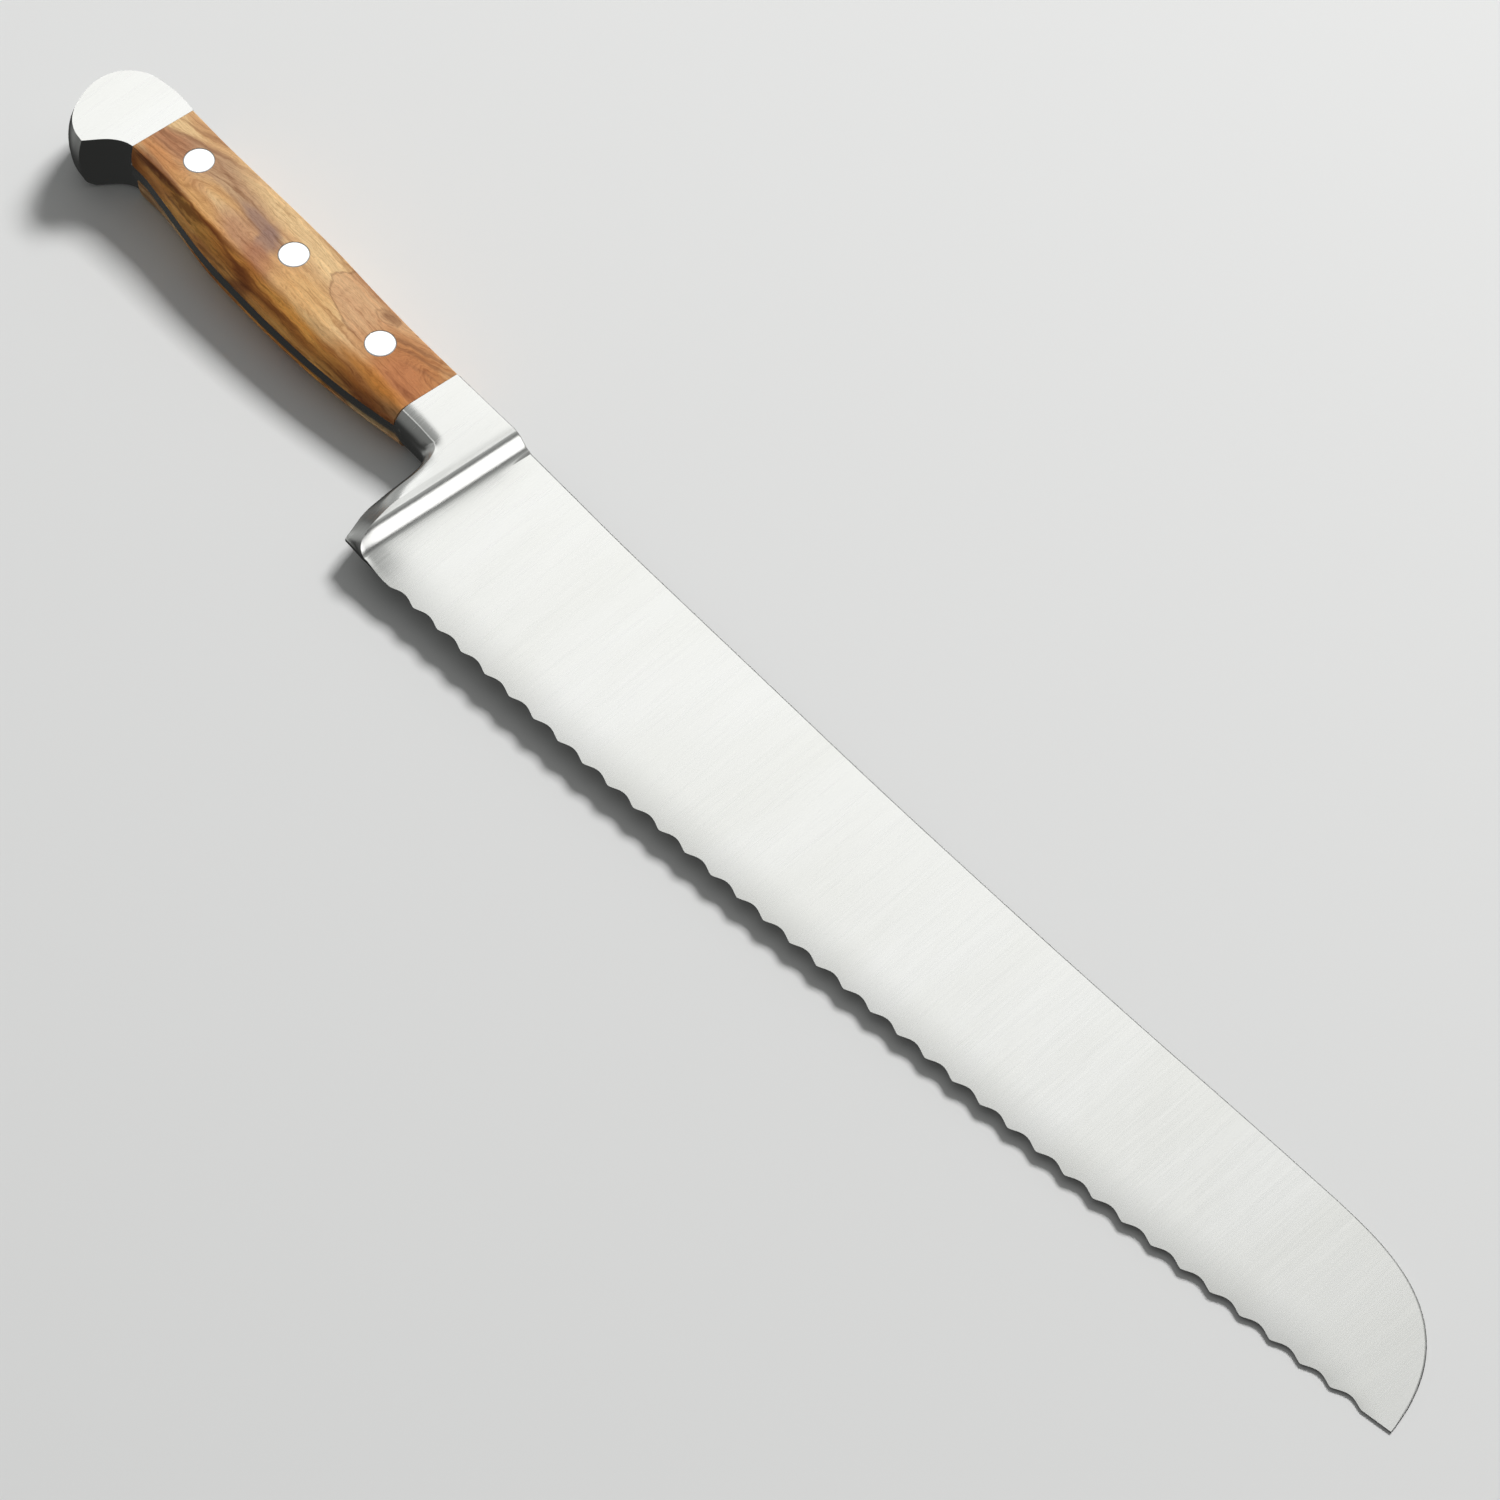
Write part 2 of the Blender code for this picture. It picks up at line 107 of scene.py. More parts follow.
# Rows of points: how far from the edge they lie, and then from the spine, in radii of its round.
LOW_OFFSETS = (0.0, 0.5, 1.0, 1.5, 2.0, 2.6, 4.2, 6.2, 8.5, 11.0)
FLAT_OFFSETS = (14.5, 18.5, 23.0, 28.0, 33.0, 38.0, 42.5)
HIGH_SHARES = (2.0, 1.3, 1.0, 0.62, 0.3, 0.08, 0.0)
DENSE_COLUMNS = 24  # columns that go on across the flat, beside the bolster
STRAIGHT_COLUMNS = 8  # columns between the last tooth and the tip
SPINE_TAPER = 0.0229
TIP_TAPER = 0.0005
BLADE_ROUND = 0.5  # radius of the polished edges of the spine
ROUND_LIMIT = 0.8  # it takes no more than this share of the half thickness

# Bolster and finger guard
ROOT_U = 1.9
STEP_U = -2.7
STEP_HEIGHT = 3.15
STEP_COLUMNS = 26
STRIP_U = -4.3  # a narrow strip beside the step, sloping a little towards it
STRIP_DROP = 0.12
FILLET_HEIGHTS = ((-1, 0.12), (4, 0.58), (9, 0.60), (20, 0.42), (47, 0.37))
FILLET_WIDTHS = ((0, 14), (8, 12.5), (20, 8), (47, 6.5))
FILLET_END = (16.0, 20.0)
NECK_START = -12.0
GUARD_COLUMNS = 14
FRONT_U = -23.9
LEFT_SHIFT = 1.7  # how much nearer the tip the left scale sits
BACK_LINE = ((-23.9, 46.2), (-12.7, 46.6), (-3.3, 46.9), (2, 47.15))
# Across the guard's bevel, from the heel up to the neck: the face's boundary, the crease and the
# foot, each as (u, v), then how straight the bevel is, how far the crease drops, how strong its lip is.
GUARD_BEVEL = (
    ((1.6, -0.97), (-2.2, -0.93), (-5.6, -0.9), 1, 0.5, 0),
    ((-0.15, -0.45), (-3.2, -0.25), (-5.95, 0), 1, 0.5, 0),
    ((-1.15, 0.9), (-3.75, 0.95), (-6.35, 1), 1, 0.5, 0),
    ((-1.75, 2.6), (-4.4, 2.65), (-7, 2.7), 1, 0.5, 0),
    ((-2.45, 4.9), (-5.2, 4.9), (-7.9, 4.9), 1, 0.5, 0),
    ((-3.05, 7.4), (-5.85, 7.35), (-8.6, 7.3), 1, 0.5, 0),
    ((-3.65, 10.1), (-6.6, 10), (-9.05, 10), 0.8, 0.5, 0),
    ((-4.1, 13), (-7.1, 13), (-9.2, 12.9), 0.4, 0.5, 0),
    ((-4.25, 16.5), (-7.4, 16.8), (-9.35, 16.9), 0.1, 0.5, 0),
    ((-4.4, 20.3), (-7.65, 20.4), (-9.65, 20.8), 0, 0.45, 0),
    ((-4.9, 24.3), (-8.2, 24), (-10.35, 24.2), 0, 0.35, 0),
    ((-6.3, 28.2), (-9.2, 27.3), (-11.5, 26.2), 0, 0.08, 0),
    ((-8.7, 31.2), (-10.3, 29), (-12.8, 27.1), 0, 0.12, 0.2),
    ((-12, 32.9), (-12, 29.9), (-14.2, 27.3), 0, 0.38, 0.7))
NECK_SHOULDER = ((-23.9, 33.4), (-18, 33.3), (-12, 32.9))
NECK_CREASE = ((-23.9, 29.8), (-18, 30), (-12, 29.9))
NECK_BELLY = ((-23.9, 27.2), (-18, 27.4), (-14.2, 27.3))
NECK_STATIONS = (-13.7, -15.4, -17.1, -18.8, -20.5)
NECK_LEAN_END = -20.0  # up to here the foot's points lie nearer the rear than the shoulder's
NECK_DROP = 0.42
GUARD_ROWS = 56
# Rows of points above the shoulder, and how far below the back the last ones lie.
SHOULDER_OFFSETS = (1.2, 2.6, 4.4, 6.6, 9.2, 11.8)
TOP_OFFSETS = (0.9, 0.62, 0.3, 0.19, 0.09, 0.025, 0.0)
BEVEL_SHARES = (0.0, 0.14, 0.28, 0.42, 0.55, 0.67, 0.78, 0.87, 0.91, 0.93, 1.0)
BEND_POWER = 2.5
LIP_SHARE = 0.91  # where a lipped bevel has fallen all the way
LIP_LEAST = 0.01
WALL_POWER = 2.9
NECK_ROUND = 0.3
HEEL_HALF = 0.5
NECK_HALF = 2.0
WALL_ROWS = 14

# Handle
REAR_U = -126.7
HANDLE_HALF = ((-126.7, 8.5), (-100, 8.3), (-75, 7.9), (-50, 7.2), (-23.9, 6.2))
HANDLE_BACK = (
    (-126.7, 45.2), (-113, 45.1), (-99, 45.4), (-84, 45.8), (-69, 46),
    (-55, 45.7), (-40, 45.7), (-23.9, 46.2))
HANDLE_BELLY = (
    (-126.7, 26.4), (-121.5, 26.45), (-114.5, 25.7), (-104.6, 24.4), (-95, 23.25),
    (-78, 22.7), (-62.6, 22.85), (-48, 23.7), (-34.5, 25.3), (-23.9, 27.2))
HANDLE_CREASE = (
    (-126.7, 27.3), (-112, 27.7), (-97, 27.4), (-80, 27.9), (-66, 28.6),
    (-50, 30.2), (-38, 31), (-30, 30.6), (-23.9, 29.8))
HANDLE_STATIONS = 90
TANG_HALF = 2.0
TANG_OVERLAP = 0.5  # how far it goes on past the scales in full, then inset to its end
TANG_REACH = 4.0
TANG_INSET = 1.5
TANG_STEP = 0.01
JOINT = 0.05  # width of the hairline joints between wood and steel
BACK_ROUND = 0.5
CREASE_SOFT = 0.1  # how softly the flat turns into the facet
CREASE_REACH = 3.0
FACET_POWER = 2.6
FACET_POINTS = 25
FLAT_POINTS = 8
ARC_POINTS = 9

# Pommel
POMMEL_HALF = 8.5
POMMEL_ARC = (
    (-126.7, 45.2), (-132.6, 45.5), (-138, 45), (-142.6, 43.8), (-146.3, 41.1),
    (-148.5, 37.5), (-149.2, 33.7), (-148.6, 30), (-147, 26.3), (-144.6, 22.6),
    (-142, 20.4), (-139.3, 19.2), (-135.8, 18.7))
POMMEL_BELLY = (
    (-135.8, 18.7), (-134.7, 20.4), (-133.4, 22.4), (-131.9, 24.3), (-130, 25.9),
    (-128.3, 26.8), (-126.7, 27.2))
POMMEL_MIDDLE_V = 36.0
POMMEL_BLEND = 6.0
# Each row: z, then how much the outline is stretched along u and v there.
POMMEL_STRETCH = (
    (-8.5, 0.91, 0.89), (-7.2, 0.99, 0.98), (-5, 1.06, 1.035), (-2, 1.095, 1.05),
    (2, 1.095, 1.05), (5.5, 1.06, 1.03), (8.5, 1, 1))
POMMEL_LEVELS = 13  # on each side of the middle plane
POMMEL_POINTS = (60, 24)  # round the arc and down the belly

# Rivets
RIVET_CENTRES = (("front", -42.1, 37.3), ("middle", -75.8, 37.3), ("rear", -113.1, 36.9))
RIVET_HEAD_RADIUS = 3.85
RIVET_SHARES = (0.3, 0.55, 0.75, 0.9, 0.97)
RIVET_CROWN = 0.05
RIVET_CHAMFER = 0.08
RIVET_SIDE = 0.8
RIVET_HEAD_DEPTH = 2.5
RIVET_SHANK_RADIUS = 3.0
RIVET_DEPTH = 4.0
RIVET_SEGMENTS = 72
HOLE_GAP = 0.03  # round the head
HOLE_MIDDLE = 9.0
HOLE_DEPTH = 9.0

# Wood: the light that it mirrors and the light that falls on it, colours as they look on screen, then
# patches on the right scale, each with its centre (u, v), half length, half width, turn in degrees,
# softness, strength and colour. A softness below zero makes a line round the oval, that thick.
WOOD_SHEEN = 0.02
WOOD_LIGHT = 0.82
WOOD = {
    "tan": (0.78, 0.62, 0.45), "pale": (0.85, 0.73, 0.55), "brown": (0.67, 0.50, 0.36),
    "line": (0.50, 0.34, 0.24), "stripe": (0.44, 0.26, 0.10), "red": (0.65, 0.45, 0.33),
    "orange": (0.71, 0.49, 0.31), "mauve": (0.67, 0.54, 0.43), "purple": (0.56, 0.45, 0.41),
    "gold": (0.80, 0.62, 0.40), "pink": (0.77, 0.60, 0.46), "honey": (0.75, 0.50, 0.25),
    "rust": (0.70, 0.46, 0.31), "rose": (0.69, 0.52, 0.40)}
WOOD_PATCHES = (
    (-112, 40.2, 14, 2, 15, 1.2, 0.75, "mauve"),
    (-121, 35.2, 13, 3.6, 8, 1.2, 0.85, "red"),
    (-125, 39.6, 6, 1.6, 15, 1.2, 0.8, "pale"),
    (-119, 30.6, 12, 2.2, 0, 1.3, 0.85, "orange"),
    (-99, 38, 15, 4.2, 0, 1.2, 0.75, "mauve"),
    (-101, 34.6, 7.5, 1.7, 5, 1.3, 0.6, "gold"),
    (-101, 29.2, 12, 1.8, -3, 1.3, 0.8, "gold"),
    (-89.5, 31.5, 7.5, 3.6, 0, 1.2, 0.85, "rose"),
    (-84, 43.2, 19, 2.8, 0, 1.3, 0.7, "pale"),
    (-87.5, 37.1, 8, 1.9, -5, 0.9, 0.75, "purple"),
    (-82.6, 34.2, 5.4, 2.6, -62, 0.9, 0.75, "purple"),
    (-80.2, 29.9, 5.6, 3, -8, 0.9, 0.8, "red"),
    (-103, 24.8, 26, 2.4, -2, -0.22, 0.75, "line"),
    (-64, 32, 11, 5, 0, 1.3, 0.7, "gold"),
    (-67, 41.5, 9, 4.5, 0, 1.3, 0.5, "pale"),
    (-46, 41.5, 18.5, 7.6, 0, 0.14, 0.65, "pink"),
    (-46, 41.5, 18.5, 7.6, 0, -0.045, 0.5, "line"),
    (-41, 41.5, 18.5, 5.6, 4, -0.09, 0.12, "line"),
    (-30, 36.5, 15, 9.5, 0, 0.9, 0.95, "orange"),
    (-31, 35.5, 8, 5, 0, 1.3, 0.8, "rust"),
    (-36, 29.6, 13, 2, 3, 1.3, 0.85, "honey"),
    (-36, 42.6, 7, 0.6, 22, 1.3, 0.6, "line"),
    (-31, 42.2, 9, 0.5, 18, 1.3, 0.5, "line"),
    (-117, 27.9, 11, 0.9, 0, 1.2, 0.8, "stripe"),
    (-36, 26.2, 15, 1.9, 0, 1.2, 0.55, "stripe"),
    (-93, 26.9, 9, 0.6, 2, 1.2, 0.7, "stripe"),
    (-27.5, 40.4, 6, 0.4, 15, 1.3, 0.35, "line"),
    (-47.2, 43.4, 3.6, 1.8, 10, -0.25, 0.35, "line"),
    (-46.9, 43.7, 3, 1.2, 8, 1, 0.7, "line"),
    (-117, 40.2, 12, 0.45, 17, 1.3, 0.55, "line"),
    (-119, 43, 9, 0.35, 14, 1.3, 0.4, "line"),
    (-123, 36, 6, 0.5, 10, 1.3, 0.5, "line"),
    (-122, 33.8, 7, 0.4, 6, 1.3, 0.45, "line"),
    (-104, 39.3, 8, 0.4, -8, 1.3, 0.35, "line"),
    (-95, 36.2, 6, 0.35, -10, 1.3, 0.35, "line"))

# Where the grain rises towards the back: over which u, over which v, and how far.
GRAIN_RISES = ((-127, -95, 29, 34, 6.5), (-48, -20, 36, 42, 8))
# Across which v the belly facet's darker tint, partly painted shade, and its stripes fade in.
FACET_BLEND = (28.8, 26.6)

# Floor, camera and light
REST_SLOPE = 0.0195  # the knife lies on its handle and its tip
CAMERA_PLACE = (689.41, -544.18, 1160.10)
CAMERA_RIGHT = (0.69591, 0.71813, 0.0)
CAMERA_UP = (-0.58682, 0.56866, 0.57643)
CAMERA_LENS = 151.536
FLOOR_COLOUR = (0.74, 0.74, 0.735)
FLOOR_HALF = 3.0  # in metres, as is the gap under the knife
FLOOR_GAP = 0.00002
BACKDROP_LEVEL = 0.80
BACKDROP_COLOUR = (0.98, 1.0, 0.99)
# Each glow: a direction, the cosines to it where the glow starts and is full, and the levels there.
SURROUND = (
    ((-0.3, 0.65, 0.65), 0.15, 0.95, 0.025, 0.42),
    ((-0.97, -0.12, 0.16), 0.88, 0.99, 0, 0.30),
    ((-0.86, -0.30, -0.41), 0.91, 0.98, 0, 0.20),
    ((0, -0.78, 0.62), 0.55, 0.95, 0, 0.20))
# Each row: name, direction from the knife, distance and size in metres, radiance and kind.
LIGHTS = (
    ("key_soft_box", (-0.15, 0.72, 0.68), 3.2, (1.0, 0.8), 42.0, "matt"),
    ("main_soft_box", (-0.47, 0.44, 0.77), 6.0, (3.2, 2.4), 0.92, "gloss"),
    ("side_soft_box", (0.89, 0.30, 0.36), 1.6, (0.9, 1.2), 1.6, "gloss"))


def to_blade(u, v):
    """Handle frame to blade frame."""
    return u * COS + v * SIN, v * COS - u * SIN


def placed(u, v, z):
    """Points given in the handle frame, as an array of points in the blade frame."""
    return np.stack(np.broadcast_arrays(*to_blade(u, v), z), -1)


def frame_origin():
    """Where the heel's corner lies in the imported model, from the front rivet's box."""
    low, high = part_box("rivet_front_tube")
    x, y = to_blade(*RIVET_CENTRES[0][1:])
    return Vector(((low[0] + high[0]) / 2 - x * MM, (low[1] + high[1]) / 2 - y * MM,
                   CAD_BOX[0][2] + POMMEL_HALF * MM))


ORIGIN = frame_origin()


def curve(points, x):
    """A smooth curve through points in order of x, read at x, which may be an array."""
    px, py = np.array(points, float).T
    slope = np.gradient(py, px)
    x = np.asarray(x, float)
    i = np.clip(np.searchsorted(px, x, side="right") - 1, 0, len(px) - 2)
    width = px[i + 1] - px[i]
    t = (x - px[i]) / width
    rise = (2 * t ** 3 - 3 * t ** 2 + 1) * py[i] + (3 * t ** 2 - 2 * t ** 3) * py[i + 1]
    return rise + width * ((t ** 3 - 2 * t ** 2 + t) * slope[i] + (t ** 3 - t ** 2) * slope[i + 1])


def smooth_path(points, count):
    """count points evenly spaced along a smooth path through points of any dimension."""
    points = np.array(points, float)
    along = np.concatenate([[0.0], np.cumsum(np.linalg.norm(np.diff(points, axis=0), axis=1))])
    steps = np.linspace(0.0, along[-1], count)
    return np.stack([curve(np.stack([along, column], 1), steps) for column in points.T], 1)


def ease(x, low, high):
    """0 below low, 1 above high, smooth between."""
    t = np.clip((np.asarray(x, float) - low) / (high - low), 0.0, 1.0)
    return t * t * (3 - 2 * t)


def blade_half(x, y):
    """Half thickness of the blade, a flat wedge."""
    return EDGE_HALF + SPINE_TAPER * (y - EDGE_Y) - TIP_TAPER * x


class Surface:
    """Collects points and faces in the blade frame, and welds them into one mesh."""

    def __init__(self):
        self.points = []
        self.faces = []
        self.count = 0

    def add(self, points):
        """Add an array of points and return their numbers in the same layout."""
        points = np.asarray(points, float)
        flat = points.reshape(-1, 3)
        self.points.append(flat)
        numbers = np.arange(self.count, self.count + len(flat))
        self.count += len(flat)
        return numbers.reshape(points.shape[:-1])

    def grid(self, numbers):
        """Quads over a grid of point numbers."""
        a, b = numbers[:-1, :-1].ravel(), numbers[:-1, 1:].ravel()
        c, d = numbers[1:, 1:].ravel(), numbers[1:, :-1].ravel()
        self.faces.extend(np.stack([a, b, c, d], 1).tolist())

    def face(self, numbers):
        """One flat face."""
        self.faces.append([int(n) for n in numbers])

    def loft(self, rings, caps=(0, -1)):
        """A skin through closed rings, with flat caps on the rings named."""
        numbers = self.add(rings)
        self.grid(np.concatenate([numbers, numbers[:, :1]], 1))
        for cap in caps:
            self.face(numbers[cap])
        return numbers

    def mesh(self, name):
        """The welded mesh, in metres, facing outwards."""
        points = np.concatenate(self.points) * MM + np.array(ORIGIN)
        mesh = bpy.data.meshes.new(name)
        mesh.from_pydata(points.tolist(), [], self.faces)
        bm = bmesh.new()
        bm.from_mesh(mesh)
        bmesh.ops.remove_doubles(bm, verts=bm.verts, dist=WELD_REACH)
        bmesh.ops.recalc_face_normals(bm, faces=bm.faces)
        bm.to_mesh(mesh)
        bm.free()
        return mesh


def linked(name, data):
    """A new object with the data, linked into the scene."""
    thing = bpy.data.objects.new(name, data)
    bpy.context.collection.objects.link(thing)
    return thing


def combined(mesh, tools, operation):
    """The mesh with every tool's solid joined to it or cut out of it."""
    base = linked("base", mesh)
    for tool_mesh in tools:
        tool = linked("tool", tool_mesh)
        modifier = base.modifiers.new("combine", "BOOLEAN")
        modifier.operation = operation
        modifier.solver = "EXACT"
        modifier.object = tool
        bpy.context.view_layer.update()
        graph = bpy.context.evaluated_depsgraph_get()
        result = bpy.data.meshes.new_from_object(base.evaluated_get(graph), depsgraph=graph)
        base.modifiers.clear()
        base.data = result
        bpy.data.objects.remove(tool, do_unlink=True)
    bpy.data.objects.remove(base, do_unlink=True)
    return result


def new_piece(name, mesh, material, nodes, angle):
    """Link a mesh as a piece that rides on the knife and stands for the named CAD nodes."""
    piece = linked(name, mesh)
    mesh.materials.clear()
    mesh.materials.append(material)
    mesh.shade_smooth()
    mesh.set_sharp_from_angle(angle=math.radians(angle))
    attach(piece, "root")
    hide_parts(*nodes)
    return piece


# ---- blade, bolster and guard

def fillet(u, v):
    """The hollow that eases the step down into the blade, higher and wider near the heel."""
    v = np.clip(v, 0.0, FILLET_WIDTHS[-1][0])
    height, width = curve(FILLET_HEIGHTS, v), curve(FILLET_WIDTHS, v)
    past = np.clip((u - ROOT_U) / width, 0.0, 1.0)
    length = ROOT_U - STEP_U
    # Before the root it flattens out, with the same slope at the root.
    before = 1 + 1.5 * length / width * (1 - np.clip((u - STEP_U) / length, 0.0, 1.0) ** 2)
    return height * np.where(u > ROOT_U, (1 - past) ** 3, before)


def forging_half(u, v):
    """Half thickness of the neck, the guard and the S-shaped step down to the blade."""
    u, v = np.broadcast_arrays(np.asarray(u, float), np.asarray(v, float))
    step_top = blade_half(*to_blade(STEP_U, v)) + STEP_HEIGHT + fillet(STEP_U, v)
    neck_end = step_top + STRIP_DROP * (STEP_U - STRIP_U)
    share = np.clip((STRIP_U - u) / (STRIP_U - FRONT_U), 0.0, None)
    neck = neck_end + (HANDLE_HALF[-1][1] - neck_end) * share
    strip = step_top + STRIP_DROP * (STEP_U - u)
    turn = np.pi * np.clip((u - STEP_U) / (ROOT_U - STEP_U), 0.0, 1.0)
    step = blade_half(*to_blade(u, v)) + STEP_HEIGHT * (1 + np.cos(turn)) / 2 + fillet(u, v)
    return np.where(u < STRIP_U, neck, np.where(u < STEP_U, strip, step))


def bevel_rows():
    """The table of the guard's bevel on closely spaced rows, with the neck's rows after them."""
    flat = [(*edge, *crease, *foot, straight, drop, lip)
            for edge, crease, foot, straight, drop, lip in GUARD_BEVEL]
    rows = smooth_path(flat, GUARD_ROWS)
    u = np.array([*NECK_STATIONS, FRONT_U + LEFT_SHIFT, FRONT_U])
    lean = np.clip((u - NECK_LEAN_END) / (NECK_START - NECK_LEAN_END), 0.0, None)
    foot_u = u + (NECK_BELLY[-1][0] - NECK_START) * lean
    steady = np.broadcast_to([0.0, NECK_DROP, GUARD_BEVEL[-1][-1]], (len(u), 3))
    neck = np.stack([u, curve(NECK_SHOULDER, u), u, curve(NECK_CREASE, u),
                     foot_u, curve(NECK_BELLY, foot_u)], 1)
    return np.concatenate([rows, np.concatenate([neck, steady], 1)])


def bevel_profile(rows):
    """Points down the bevel and the wall on every row: a list of (u, v, z) arrays."""
    edge, crease, foot = rows[:, 0:2], rows[:, 2:4], rows[:, 4:6]
    straight, drop, lip = (rows[:, i:i + 1] for i in (6, 7, 8))
    top = forging_half(edge[:, 0], edge[:, 1])[:, None]
    share = np.clip(np.arange(len(rows)) / (GUARD_ROWS - 1), 0.0, 1.0)[:, None]
    low = HEEL_HALF + (NECK_HALF - HEEL_HALF) * share
    slope = forging_half(crease[:, 0], crease[:, 1])[:, None] - top
    crease_z = top + slope - drop
    points = []
    for s in BEVEL_SHARES:
        place = edge + (crease - edge) * s
        plain = s ** BEND_POWER
        lipped = min(s / LIP_SHARE, 1.0) ** BEND_POWER * lip + plain * (1 - lip)
        bend = np.where(lip > LIP_LEAST, lipped, plain)
        points.append(np.concatenate([place, top + slope * s - drop * bend], 1))
    for s in np.linspace(0.0, 1.0, WALL_ROWS + 1)[1:]:
        z = crease_z + (low - crease_z) * s
        out = (1 - (z / crease_z) ** WALL_POWER) / (1 - (low / crease_z) ** WALL_POWER)
        points.append(np.concatenate([crease + (foot - crease) * out, z], 1))
    points = np.array(points)
    # Where the bevel is straight, it runs evenly from the face's boundary to the foot.
    along = np.linalg.norm(np.diff(points[..., :2], axis=0), axis=-1).cumsum(0)
    along = np.concatenate([along[:1] * 0, along]) / along[-1]
    start = np.concatenate([edge, top], 1)
    even = start + (np.concatenate([foot, low], 1) - start) * along[..., None]
    return straight * even + (1 - straight) * points


def round_drop(distance, radius):
    """How far a surface falls at a distance from an edge rounded to the radius."""
    inside = np.clip(radius - distance, 0.0, radius)
    return radius - np.sqrt(np.maximum(radius ** 2 - inside ** 2, 0.0))


def spine_height(x):
    """y of the spine and of the nose at x."""
    (cx, cy), (a, b) = NOSE_CENTRE, NOSE_RADII
    across = np.clip(x - cx, 0.0, a)
    nose = cy + b * (1 - (across / a) ** NOSE_POWER) ** (1 / NOSE_POWER) + NOSE_SLOPE * across
    return np.where(x > cx, nose, curve(SPINE, np.minimum(x, cx)))


def edge_height(x):
    """y of the cutting edge at x: the heel's flat, the teeth, then the straight run to the tip."""
    first, last = TOOTH_LINE[0][0], TOOTH_LINE[-1][0]
    pitch = (last - first) / (TOOTH_COUNT - 1)
    phase = np.mod((x - first) / pitch, 1.0)
    depth = curve(TOOTH_DEPTHS, np.clip(x, first, last))
    teeth = curve(TOOTH_LINE, np.clip(x, first, last))
    teeth = teeth + depth * np.abs(np.sin(np.pi * phase)) ** TOOTH_POWER
    tip_x, tip_y = tip_point()
    straight = TOOTH_LINE[-1][1] + (x - last) / (tip_x - last) * (tip_y - TOOTH_LINE[-1][1])
    heel = curve(HEEL_EDGE, np.minimum(x, first))
    return np.where(x < first, heel, np.where(x > last, straight, teeth))


def tip_angle():
    """The angle round the nose at which it meets the edge's chord."""
    drop = -NOSE_CENTRE[1] - NOSE_SLOPE * NOSE_RADII[0]
    return math.asin((drop / NOSE_RADII[1]) ** (NOSE_POWER / 2))


def tip_point():
    """Where the nose meets the edge's chord."""
    (cx, cy), (a, b) = NOSE_CENTRE, NOSE_RADII
    across = a * math.cos(tip_angle()) ** (2 / NOSE_POWER)
    return cx + across, cy + b * math.sin(tip_angle()) ** (2 / NOSE_POWER) + NOSE_SLOPE * across


def blade_columns():
    """Pairs of edge and spine points, from just past the bolster to the tip."""
    first, last = TOOTH_LINE[0][0], TOOTH_LINE[-1][0]
    heel = np.linspace(HEEL_EDGE[0][0], first, HEEL_COLUMNS + 1)[1:]
    teeth = np.linspace(first, last, (TOOTH_COUNT - 1) * TOOTH_STEPS + 1)[1:]
    straight = np.linspace(last, tip_point()[0], STRAIGHT_COLUMNS + 1)[1:]
    edge_x = np.concatenate([heel, teeth, straight])
    root_x = to_blade(ROOT_U, BACK_LINE[-1][1])[0]
    body = np.linspace(root_x, NOSE_CENTRE[0], len(edge_x) - NOSE_COLUMNS + 1)[1:]
    turn = np.linspace(np.pi / 2, tip_angle(), NOSE_COLUMNS + 1)[1:]
    nose = NOSE_CENTRE[0] + NOSE_RADII[0] * np.cos(turn) ** (2 / NOSE_POWER)
    spine_x = np.concatenate([body, nose])
    edge = np.stack([edge_x, edge_height(edge_x)], 1)
    spine = np.stack([spine_x, spine_height(spine_x)], 1)
    spine[-1] = edge[-1]
    return edge, spine


def zipper(first, first_share, second, second_share):
    """Triangles between two rows of points of different counts, matched by their shares."""
    faces = []
    i = j = 0
    while i < len(first) - 1 or j < len(second) - 1:
        step_first = j == len(second) - 1 or (
            i < len(first) - 1 and first_share[i + 1] <= second_share[j + 1])
        if step_first:
            faces.append((first[i], first[i + 1], second[j]))
            i += 1
        else:
            faces.append((first[i], second[j + 1], second[j]))
            j += 1
    return faces


def above_shoulder(u):
    """v of every row of the neck and the guard above the shoulder, at each u."""
    low, high = curve(NECK_SHOULDER, np.clip(u, FRONT_U, NECK_START)), curve(BACK_LINE, u)
    shares = np.array(SHOULDER_OFFSETS) / (BACK_LINE[1][1] - NECK_SHOULDER[-1][1])
    return np.stack([low + (high - low) * share for share in shares] +
                    [high - offset for offset in TOP_OFFSETS])


def guard_grid():
    """The face from the bevel's boundary to the blade's root, and the face of the neck."""
    rows = bevel_rows()
    edge = rows[:GUARD_ROWS, 0:2]
    spaced = np.concatenate([np.linspace(NECK_START, STEP_U, GUARD_COLUMNS + 1)[:-1],
                             np.linspace(STEP_U, ROOT_U, STEP_COLUMNS + 1)])
    share = np.linspace(0.0, 1.0, len(spaced))
    above = above_shoulder(spaced)
    u = [np.maximum(spaced, start + (ROOT_U - start) * share) for start in edge[:, 0]]
    u = np.concatenate([u, np.repeat(spaced[None], len(above), 0)])
    v = np.concatenate([np.repeat(edge[:, 1:2], len(spaced), 1), above])
    neck_u = np.concatenate([rows[GUARD_ROWS:, 0][::-1], [NECK_START]])
    neck_v = np.concatenate([curve(NECK_SHOULDER, neck_u)[None], above_shoulder(neck_u)])
    neck_u = np.repeat(neck_u[None], len(neck_v), 0)
    grids = []
    for grid_u, grid_v in ((u, v), (neck_u, neck_v)):
        z = forging_half(grid_u, grid_v) - round_drop(curve(BACK_LINE, grid_u) - grid_v, NECK_ROUND)
        grids.append(placed(grid_u, grid_v, z))
    return grids


